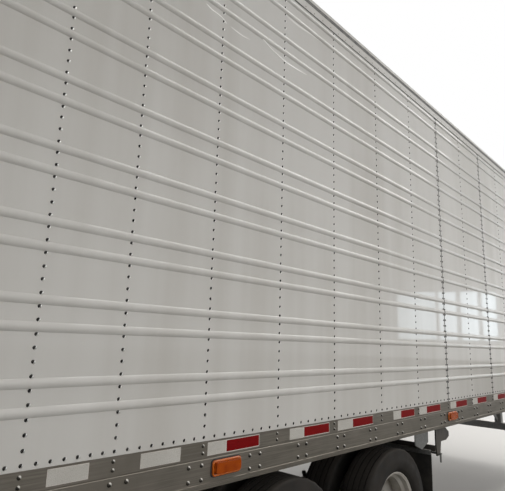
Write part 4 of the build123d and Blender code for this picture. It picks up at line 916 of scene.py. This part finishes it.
def smooth_run(run):
    """More points along a run, on a curve that passes through all of them."""
    dense = []
    for before, here, after, beyond in zip(run[:1] + run, run, run[1:], run[2:] + run[-1:]):
        for t in (k / curve_steps for k in range(curve_steps)):
            dense.append(tuple(
                0.5 * (2 * q + (r - p) * t + (2 * p - 5 * q + 4 * r - s) * t * t
                       + (3 * q - p - 3 * r + s) * t ** 3)
                for p, q, r, s in zip(before, here, after, beyond)))
    return dense + [run[-1]]


def ridge_on_skin(half, height, run):
    """Points and faces of a low ridge that follows a run on the left skin."""
    run = smooth_run(run)
    last = len(run) - 1
    points = []
    for n, (x, z) in enumerate(run):
        along = (Vector(run[min(n + 1, last)]) - Vector(run[max(n - 1, 0)])).normalized()
        fade = math.sin(math.pi * n / last) ** 0.5
        points += [(x - along.y * half * out, skin_y - bell_sink + height * rise * fade,
                    z + along.x * half * out) for out, rise in bell]
    return points, grid_faces(len(run), len(bell))


crease_paint = streaked_paint("crease_paint", paint_white, skin_gloss)
# Painted highlight: the crease's paint turns pale with height above the skin.
crease_highlight = spread(crease_paint, side_depth(crease_paint), start=skin_y, end=skin_y + pale_height)
paint_with(crease_paint, between(crease_paint, crease_highlight, painted_over(crease_paint),
                                 (0.90, 0.89, 0.86)))
new_piece("left_skin_creases", *merged(ridge_on_skin(*crease) for crease in creases),
          "trailer_body", crease_paint)
print("creases:", len(creases))

# %% [markdown]
# ## The roof edge, line by line
# Seen from the ground, the roof edge is a stack of lines: a dark joint where the
# skin meets the painted top rail, the rail itself, then the deep shadow under the
# folded edge of the roof sheet, and that thin edge catching the light. The joint
# and the shadow are laid on the rail as long dark slabs, a few millimetres thick
# at most.

# %% Roof edge lines
rail_span, joint_half = top_high.z - skin_top, 0.0035
# The second slab, from drip_low to drip_high, is a painted shadow: a dark band where shade falls
# under the roof sheet's edge.
drip_low, drip_high = skin_top + 0.55 * rail_span, skin_top + 0.82 * rail_span
roof_lines = ((skin_y + 0.001, skin_top - joint_half, skin_top + joint_half, 0.0022),
              (top_high.y, drip_low, drip_high, 0.0006))
for side_name, side in sides.items():
    lines = [slab(wall_rear, wall_front, y, z0, z1, side, thick) for y, z0, z1, thick in roof_lines]
    new_piece(f"{side_name}_roof_edge_lines", *merged(lines), "trailer_body", seam_dark,
              smooth=False)
print("roof edge lines from z", round(drip_low, 4), "to", round(drip_high, 4))

# %% [markdown]
# ## Tyres with a ribbed tread
# A trailer tyre rolls and does not pull, so its tread is plain ribs with grooves
# between them. The CAD solid has the tyre's section, and this mesh turns the same
# section with the grooves, the shoulder step and the bead ring added. It stands in
# the solid's place and turns with its wheel.

# %% Tyres
tyre_radius, rim_edge, tyre_half = nodes["front_left_tyres"].dimensions.z / 2, 0.2862, 0.1275
groove_depth, groove_top, groove_foot, groove_places = 0.010, 0.0055, 0.00385, (0.066, 0.024)
notch_depth, notch_skin, notch_from = 0.003, 0.004, 0.085
tyre_around, dual_half = 72, 0.1635
# The side of a tyre: the share of the way from rim to tread, and of half the width.
tyre_wall = ((0.0, 0.67), (0.03, 0.71), (0.09, 0.73), (0.11, 0.80), (0.20, 0.90), (0.22, 0.925),
             (0.34, 0.975), (0.47, 1.0), (0.60, 0.99), (0.63, 0.975), (0.71, 0.96), (0.80, 0.93),
             (0.86, 0.92), (0.93, 0.885), (0.985, 0.835), (1.0, 0.80))


def tyre_outline():
    """(radius, distance from the middle plane) round one tyre's outside."""
    height, groove_floor = tyre_radius - rim_edge, tyre_radius - groove_depth
    half = [(rim_edge + up * height, out * tyre_half) for up, out in tyre_wall]
    for place in groove_places:
        half += [(tyre_radius, place + groove_top), (groove_floor, place + groove_foot),
                 (groove_floor, place - groove_foot), (tyre_radius, place - groove_top)]
    return half + [(radius, -y) for radius, y in reversed(half)]


def tyre_shape(centre):
    """Points and faces of one tyre about a wheel's middle, its shoulders notched."""
    outline, points = tyre_outline(), []
    for step in range(tyre_around):
        angle = 2 * math.pi * step / tyre_around
        for radius, y in outline:
            notched = step % 2 and radius > tyre_radius - notch_skin and abs(y) > notch_from
            reach = radius - notch_depth if notched else radius
            points.append((centre.x + reach * math.cos(angle), centre.y + y,
                           centre.z + reach * math.sin(angle)))
    return points, grid_faces(tyre_around, len(outline), loop_rows=True)


wheels = [(axle, side_name) for axle in ("front", "rear") for side_name in sides]
wheel_middle = {}
for axle, side_name in wheels:
    low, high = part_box(f"{axle}_{side_name}_tyres")
    middle = wheel_middle[axle, side_name] = (low + high) / 2
    pair = [tyre_shape(middle + Vector((0, out, 0))) for out in (-dual_half, dual_half)]
    piece = new_piece(f"{axle}_{side_name}_ribbed_tyres", *merged(pair),
                      f"{axle}_{side_name}_dual", tyre_rubber, "tyre_rubber")
    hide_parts(f"{axle}_{side_name}_tyres")
print("tyres replaced:", len(wheels) * 2)

# %% [markdown]
# ## Nuts and hub bolts
# Ten nuts hold both wheels of a pair to the hub, on the standard circle of 11.25
# inches. The oil cap in the middle has its own ring of small bolts.

# %% Wheel nuts
nut_circle, nut_count, nut_face_y = 0.1429, 10, 0.99525
cap_circle, cap_bolts, cap_margin = 0.0462, 6, 0.02


def ring_places(centre, y, side, radius, count):
    """Places of heads spaced evenly round a wheel's axis, facing out."""
    places = []
    for angle in (2 * math.pi * n / count for n in range(count)):
        at = (centre.x + radius * math.cos(angle), y * side, centre.z + radius * math.sin(angle))
        places.append(heading(at, (0, side, 0), angle))
    return places


def cap_face(node, centre):
    """How far out a hub cap's flat face lies: the farthest point near the axis."""
    points = [node.matrix_world @ v.co for v in node.data.vertices]
    return max(abs(p.y) for p in points
               if math.hypot(p.x - centre.x, p.z - centre.z) < cap_circle + cap_margin)


for axle, side_name in wheels:
    middle, side = wheel_middle[axle, side_name], sides[side_name]
    cap_y = cap_face(nodes[f"{axle}_{side_name}_wheels"], middle)
    for word, head, y, circle, count in (
            ("wheel_nuts", hexagon(0.033, 0.026, 0.021), nut_face_y, nut_circle, nut_count),
            ("cap_bolts", hexagon(0.012, 0.006), cap_y, cap_circle, cap_bolts)):
        stamped(f"{axle}_{side_name}_{word}", head, ring_places(middle, y, side, circle, count),
                f"{axle}_{side_name}_dual", bolt_metal)
print("hub cap faces at", round(cap_y, 4))

# %% [markdown]
# ## Finding single solids, and frames round them
# One CAD node may hold many solids of a kind, such as all the lamp bodies.
# `islands` parts them by following edges from corner to corner, and gives the box
# of each. `frame_ring` draws a rounded frame that fits round such a box.

# %% Solids and frames
def islands(node):
    """Boxes (low, high) of the separate solids in one node."""
    mesh = bmesh.new()
    mesh.from_mesh(node.data)
    bmesh.ops.remove_doubles(mesh, verts=mesh.verts, dist=1e-5)
    left_over, boxes = set(mesh.verts), []
    while left_over:
        group, edge = [], [left_over.pop()]
        while edge:
            here = edge.pop()
            group.append(here)
            beside = {link.other_vert(here) for link in here.link_edges} & left_over
            left_over -= beside
            edge += beside
        points = [node.matrix_world @ vert.co for vert in group]
        boxes.append([Vector([pick(p[k] for p in points) for k in range(3)])
                      for pick in (min, max)])
    mesh.free()
    return sorted(boxes, key=lambda box: tuple(round(v, 3) for v in box[0]))


def rounded_loop(half_w, half_h, corner, steps=5):
    """Points of a rounded rectangle about (0, 0)."""
    loop = []
    for quarter, (sx, sy) in enumerate(((1, 1), (-1, 1), (-1, -1), (1, -1))):
        for n in range(steps + 1):
            angle = math.pi / 2 * (quarter + n / steps)
            loop.append((sx * (half_w - corner) + corner * math.cos(angle),
                         sy * (half_h - corner) + corner * math.sin(angle)))
    return loop


def frame_ring(half_w, half_h, corner, profile, place):
    """A frame round a rectangle at a 4x4 place; profile is (outward, height) pairs."""
    loops = [rounded_loop(half_w + out, half_h + out, max(corner + out, 0.001))
             for out, _ in profile]
    points = [place @ Vector((x, y, height))
              for loop, (_, height) in zip(loops, profile) for x, y in loop]
    faces = grid_faces(len(profile), len(loops[0]), loop_across=True)
    return points, [(f[0], f[3], f[2], f[1]) for f in faces]


print("lamp bodies:", len(islands(nodes["lamp_bases"])))

# %% [markdown]
# ## Lamps with a lens flange and a gasket
# A side lamp is a lens on a plastic body. Two more things make it read as a lamp
# and not as a coloured block: the dark rubber gasket squeezed out round it, and
# the lens's own flange, which is drawn over the body's edge and catches a thin line
# of light. Both are rounded frames drawn round each body, whatever its size.

# %% Lamp surrounds
side_reach, least_lamp = 1.2, 0.1


def out_on_side(box):
    """Whether a solid's box lies wholly out at a side of the trailer."""
    return min(abs(box[0].y), abs(box[1].y)) > side_reach


gasket_corner, flange_corner = 0.012, 0.016
gasket_profile = ((0.005, 0.0), (0.005, 0.003), (0.001, 0.0045), (-0.004, 0.0045))
flange_profile = ((0.0008, 0.004), (0.0008, 0.0105), (-0.0025, 0.0125), (-0.007, 0.0125),
                  (-0.0095, 0.011))
# The flanges take a paler copy of each lens colour, a painted highlight, besides the light their
# shape catches.
amber_rim_highlight_glass = lens("amber_rim", (0.62, 0.16, 0.012), (0.40, 0.075, 0.004))
red_rim_highlight_glass = lens("red_rim", (0.44, 0.016, 0.013), (0.22, 0.005, 0.005))
side_lamps = [b for b in islands(nodes["lamp_bases"])
              if b[1].x - b[0].x > least_lamp and out_on_side(b)]
red_lens_xs = [b[1].x for b in islands(nodes["red_lamps"]) if out_on_side(b)]
gaskets, amber_flanges, red_flanges = [], [], []
for low, high in side_lamps:
    middle, half = (low + high) / 2, (high - low) / 2
    foot = on_side(middle.x, rail_y, middle.z, 1 if middle.y > 0 else -1)
    lies_along = abs((foot.to_3x3().inverted() @ Vector((1, 0, 0))).x) > 0.5
    size = (half.x, half.z) if lies_along else (half.z, half.x)
    gaskets.append(frame_ring(*size, gasket_corner, gasket_profile, foot))
    is_red = any(low.x < x < high.x for x in red_lens_xs)
    (red_flanges if is_red else amber_flanges).append(
        frame_ring(*size, flange_corner, flange_profile, foot))
for name, rings, material in (("lamp_gaskets", gaskets, seal_rubber),
                              ("amber_lens_flanges", amber_flanges, amber_rim_highlight_glass),
                              ("red_lens_flanges", red_flanges, red_rim_highlight_glass)):
    new_piece(name, *merged(rings), "trailer_body", material)
print("side lamps:", len(side_lamps), "of them red:", len(red_flanges))

# %% [markdown]
# ## Seals round the rear doors
# Each door closes on a rubber strip all round its edge. The lips show as a thin
# black frame outside the door's own skin. They are swept round each door as a
# small rounded section and swing with it.

# %% Door seals
def sweep_loop(path, section):
    """Carry a small section round a closed path of points in a YZ plane."""
    rear = Vector((1, 0, 0))
    points = []
    for n, here in enumerate(path):
        back, ahead = (here - path[n - 1]).normalized(), path[(n + 1) % len(path)] - here
        out = rear.cross((back + ahead.normalized()).normalized()).normalized()
        miter = 1 / max(abs(out.dot(rear.cross(back))), 0.5)
        points += [here + out * off * miter + rear * lift for off, lift in section]
    return points, grid_faces(len(path), len(section), loop_rows=True, loop_across=True)


seal_inset, seal_corner, seal_lift, seal_wide, seal_deep = 0.007, 0.02, 0.0005, 0.006, 0.004
seal_section = [(seal_wide * math.cos(a), seal_deep * math.sin(a))
                for a in (2 * math.pi * n / 8 for n in range(8))]
for side_name in sides:
    low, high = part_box(f"{side_name}_door")
    middle, half = (low + high) / 2, (high - low) / 2
    loop = [Vector((low.x - seal_lift, middle.y + y, middle.z + z)) for y, z in
            rounded_loop(half.y - seal_inset, half.z - seal_inset, seal_corner, 4)]
    new_piece(f"{side_name}_door_seal", *sweep_loop(loop, seal_section),
              f"{side_name}_rear_door", seal_rubber)
print("seals on both doors")

# %% [markdown]
# ## Fixings of the doors
# Every hinge leaf is held by bolts, and so are the rods' bearings and the handle's
# plate. The heads are carriage bolts: wide, low domes. On each door they sit three
# in a row along the middle of every hinge strap.

# %% Door bolts
strap_thick, strap_least, strap_end = 0.008, 0.08, 0.03
strap_steps = (0.022, 0.075, 0.128)
for side_name, side in sides.items():
    door_low, door_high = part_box(f"{side_name}_door")
    door_edge = abs(door_high.y if side > 0 else door_low.y)
    places, straps = [], 0
    for low, high in islands(nodes[f"{side_name}_door_hinges"]):
        if high.y - low.y <= strap_least:
            continue
        straps += 1
        inner, outer = sorted((abs(low.y), abs(high.y)))
        places += [on_back(door_low.x - strap_thick, (inner + step) * side, (low.z + high.z) / 2)
                   for step in strap_steps if inner + step < min(outer - strap_end, door_edge)]
    stamped(f"{side_name}_hinge_bolts", dome(0.011, 0.0045, 12), places,
            f"{side_name}_rear_door", zinc)
    print("hinge straps on this door:", straps)

# %% [markdown]
# ## Tape on the doors and the rear guard
# The back carries the same tape: along the bottom of the doors, across the guard,
# and white corner marks at the top of the doors that show the trailer's outline.

# %% Tape at the rear
tape_height, corner_mark, mark_gap, least_tape = 0.05, 0.30, 0.002, 0.1
door_margin, height_margin, guard_margin, guard_rise = 0.03, 0.05, 0.05, 0.022


def tape_run(start, end, z, x, side=1, red_next=False):
    """Lists of red and of white slabs in turn, on a face that looks to the rear."""
    reds, whites = [], []
    while start + least_tape < end:
        stop = start + min(red_length if red_next else white_length, end - start)
        (reds if red_next else whites).append(
            slab_back(start, stop, z, z + tape_height, x, tape_lift, side))
        start, red_next = stop, not red_next
    return reds, whites


for side_name, side in sides.items():
    low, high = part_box(f"{side_name}_door")
    inner, outer = sorted((abs(low.y), abs(high.y)))
    outer, top = outer - door_margin, high.z - height_margin
    reds, whites = tape_run(inner + door_margin, outer, low.z + height_margin, low.x, side)
    for wide, z0, z1 in ((corner_mark, top - tape_height, top),
                         (tape_height, top - corner_mark, top - tape_height - mark_gap)):
        whites.append(slab_back(outer - wide, outer, z0, z1, low.x, tape_lift, side))
    tape_pieces(f"{side_name}_door_tape", reds, whites, f"{side_name}_rear_door")
low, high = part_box("rear_guard")
reds, whites = tape_run(low.y + guard_margin, high.y - guard_margin, low.z + guard_rise, low.x,
                        red_next=True)
tape_pieces("guard_tape", reds, whites, "trailer_body")
print("lengths of tape on the guard:", len(reds) + len(whites))

# %% [markdown]
# ## Rivets of the roof edge and the nose
# The roof sheet and the top rail are riveted together along the whole length, and
# the nose sheet is riveted to its posts.

# %% Rivets of the top and the nose
top_pitch, top_start, top_rise = 0.1016, 0.04, 0.02
nose_post, nose_pitch, nose_posts, nose_margin = -0.9652, 0.3861, 6, 0.05
for side_name, side in sides.items():
    row = [on_side(wall_rear + top_start + n * top_pitch, top_high.y, top_low.z + top_rise, side)
           for n in range(int((wall_front - wall_rear) / top_pitch))]
    stamped(f"{side_name}_top_rail_rivets", dome(0.005, 0.0022, 8), row, "trailer_body",
            rail_metal)
nose_rows = int((nose_high.z - nose_low.z - 2 * nose_margin) / top_pitch)
nose_places = [heading((nose_high.x, nose_post + post * nose_pitch,
                        nose_low.z + nose_margin + n * top_pitch), (1, 0, 0))
               for post in range(nose_posts) for n in range(nose_rows)]
stamped("nose_rivets", dome(0.0055, 0.0028, 8), nose_places, "trailer_body", rivet_metal)

# %% [markdown]
# ## Rod guides and handle catches on the doors
# Each lock rod turns in three guides. A guide is a folded strap over the rod, and
# its two feet are bolted flat to the door. The handle at rest drops behind a hook,
# which keeps it shut on the road. Feet and hook plates are thin, so they are laid
# on the door's face as slabs, and the hook is one bent profile drawn out sideways.

# %% Rod guides and catches
foot_half, foot_tall, foot_thick, foot_bolt = 0.046, 0.036, 0.003, 0.032
guide_shares, rod_inset = (0.12, 0.5, 0.88), 0.220
handle_z, hook_at, hook_half = 1.700, 0.185, 0.026
plate_below, plate_above, hook_bolts = 0.045, 0.075, (-0.033, 0.048, 0.064)
# The hook from the side: how far it stands out from the door, and how high.
hook = ((0.0, -0.010), (0.030, -0.010), (0.030, 0.020), (0.026, 0.020), (0.026, -0.006),
        (0.0, -0.006))


def drawn_out(profile, y0, y1):
    """An (x, z) outline carried sideways from one y to another."""
    count = len(profile)
    points = [(x, y, z) for y in sorted((y0, y1)) for x, z in profile]
    ends = [tuple(range(count))[::-1], tuple(range(count, 2 * count))]
    return points, grid_faces(2, count, loop_across=True) + ends


for side_name, side in sides.items():
    door_low, door_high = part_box(f"{side_name}_door")
    face_x, plate_x = door_low.x, door_low.x - foot_thick
    plates, hooks, bolts = [], [], []
    for low, high in islands(nodes[f"{side_name}_lock_rods"]):
        rod_y = max(abs(low.y), abs(high.y)) - rod_inset
        for share in guide_shares:
            z = door_low.z + share * (door_high.z - door_low.z)
            plates.append(slab_back(rod_y - foot_half, rod_y + foot_half, z - foot_tall / 2,
                                    z + foot_tall / 2, face_x, foot_thick, side))
            bolts += [on_back(plate_x, (rod_y + off) * side, z) for off in (-foot_bolt, foot_bolt)]
        at = rod_y + hook_at
        plates.append(slab_back(at - hook_half, at + hook_half, handle_z - plate_below,
                                handle_z + plate_above, face_x, foot_thick, side))
        hooks.append(drawn_out([(face_x - out, handle_z + up) for out, up in hook],
                               (at - hook_half) * side, (at + hook_half) * side))
        bolts += [on_back(plate_x, at * side, handle_z + up) for up in hook_bolts]
    body = f"{side_name}_rear_door"
    new_piece(f"{side_name}_guide_feet", *merged(plates), body, zinc, smooth=False)
    new_piece(f"{side_name}_handle_hooks", *merged(hooks), body, zinc, smooth=False)
    stamped(f"{side_name}_door_bolts", dome(0.0075, 0.004), bolts, body, zinc)

# %% [markdown]
# ## Fixings of the undercarriage
# The spring packs are held down by clips with four nuts each. The mudflaps hang
# from a steel strip with a row of carriage bolts. The landing gear's gearbox has a
# bolted cover, and its feet turn on pins. All of these heads are stamped from the
# same small shapes.

# %% Undercarriage fixings
dusty_steel = road_worn("dusty_steel", (0.16, 0.15, 0.14), (0.24, 0.21, 0.18), 0.5, 0.5)
both_ways = (-1, 1)
spring_y, clip_top, clip_x, clip_y = 0.489, 0.6102, 0.064, 0.047
clip_nuts = [heading((wheel_middle[axle, "left"].x + sx * clip_x, sy * (spring_y + sc * clip_y),
                      clip_top), (0, 0, 1))
             for axle in ("front", "rear") for sx in both_ways for sy in both_ways
             for sc in both_ways]
stamped("spring_clip_nuts", hexagon(0.030, 0.024, 0.019), clip_nuts, "sliding_tandem", dusty_steel)

flap_low, flap_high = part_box("mudflaps")
flap_wide, strip_inset, strip_drop, strip_tall, strip_thick = 0.56, 0.006, 0.003, 0.042, 0.004
flap_bolt_in, flap_bolt_step, flap_bolt_count = 0.04, 0.096, 6
strip_top, flap_edge = flap_high.z - strip_drop, flap_high.y
strips = [slab_back(flap_edge - flap_wide + strip_inset, flap_edge - strip_inset,
                    strip_top - strip_tall, strip_top, flap_low.x, strip_thick, side)
          for side in both_ways]
flap_bolts = [on_back(flap_low.x - strip_thick,
                      (flap_edge - flap_bolt_in - n * flap_bolt_step) * side,
                      strip_top - strip_tall / 2)
              for side in both_ways for n in range(flap_bolt_count)]
new_piece("mudflap_strips", *merged(strips), "sliding_tandem", zinc, smooth=False)
stamped("mudflap_bolts", dome(0.011, 0.005), flap_bolts, "sliding_tandem", zinc)

leg_low, leg_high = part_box("landing_legs")
leg_x = (leg_low.x + leg_high.x) / 2
cover_z, cover_half, cover_rows = 0.86, 0.036, (-0.098, 0, 0.098)
cover_bolts = [on_side(leg_x + dx, leg_high.y, cover_z + dz, side)
               for side in both_ways for dx in (-cover_half, cover_half) for dz in cover_rows]
stamped("gearbox_bolts", hexagon(0.017, 0.009, 0.012), cover_bolts, "trailer_body", dusty_steel)
leg_y, pin_reach, pin_z = 0.92, 0.052, 0.042
foot_pins = [heading((leg_x, side * (leg_y + out * pin_reach), pin_z), (0, side * out, 0))
             for side in both_ways for out in both_ways]
stamped("foot_pin_heads", dome(0.021, 0.008, 14), foot_pins, "trailer_body", dusty_steel)

# %% [markdown]
# ## Inside the load space
# The walls are lined with plywood, screwed to the posts. Where pallets rub, a steel
# strip a foot tall runs along the foot of each wall. With the doors open these are
# the first things that show.

# %% Lining strips and screws
lining_y, floor_top = skin_y - lining_depth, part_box("floor_deck")[1].z
strip_length, strip_joint, sheet_thick = 3.048, 0.003, 0.0015
strip_low, strip_high, strip_screw = floor_top + 0.004, floor_top + 0.309, 0.03
first_screw, screw_pitch, screw_rows = floor_top + 0.40, 0.305, 9
rear_end, nose_end, least_strip = wall_rear + 0.01, wall_front - 0.55, 0.05
strip_count = math.ceil((nose_end - least_strip - rear_end) / strip_length)
levels = [(lining_y, first_screw + n * screw_pitch) for n in range(screw_rows)]
levels += [(lining_y - sheet_thick, z) for z in (strip_low + strip_screw, strip_high - strip_screw)]
for side_name, side in sides.items():
    starts = [rear_end + n * strip_length for n in range(strip_count)]
    strips = [slab(x, min(x + strip_length - strip_joint, nose_end), lining_y, strip_low,
                   strip_high, side, -sheet_thick) for x in starts]
    screws = [heading((x, y * side, z), (0, -side, 0)) for x in posts[1:-2] for y, z in levels]
    new_piece(f"{side_name}_scuff_strips", *merged(strips), "trailer_body", zinc, smooth=False)
    stamped(f"{side_name}_lining_screws", dome(0.006, 0.002, 8), screws, "trailer_body", zinc)

# %% [markdown]
# ## A pale floor to stand on
# The floor is a plane with a plain pale finish. Far away it fades to the white of
# the surround, so no horizon line shows. Seen by the camera it is pale. For light
# that bounces up from it the same floor is darker, which keeps the underside of
# the trailer as shaded as it is on a real yard.

# %% Studio floor
floor_half, fade_start, fade_end = 80.0, 5.5, 12.5
pale_tone, dark_tone = (0.74, 0.73, 0.71), (0.12, 0.115, 0.105)
corners = [(x * floor_half, y * floor_half, 0) for x, y in ((-1, -1), (1, -1), (1, 1), (-1, 1))]
floor_mesh = bpy.data.meshes.new("studio_floor")
floor_mesh.from_pydata(corners, [], [(0, 1, 2, 3)])
floor = add_object("studio_floor", floor_mesh)
pale_floor = finish("pale_floor", pale_tone, 0.8, Specular_IOR_Level=0.1)
by_camera = add_node(pale_floor, "LightPath", {}).outputs["Is Camera Ray"]
paint_with(pale_floor, between(pale_floor, by_camera, dark_tone, pale_tone))
away = add_node(pale_floor, "VectorMath", {0: place_of(pale_floor, (0.55, 1.0, 1.0))},
                operation="LENGTH").outputs["Value"]
fade = product(pale_floor, spread(pale_floor, away, start=fade_start, end=fade_end), by_camera)
white = add_node(pale_floor, "Emission", {}).outputs[0]
shades = {0: fade, 1: shader_of(pale_floor).outputs[0], 2: white}
surface = add_node(pale_floor, "MixShader", shades).outputs[0]
feed(pale_floor, pale_floor.node_tree.nodes["Material Output"].inputs["Surface"], surface)
floor_mesh.materials.append(pale_floor)
print("floor laid,", 2 * floor_half, "metres wide")
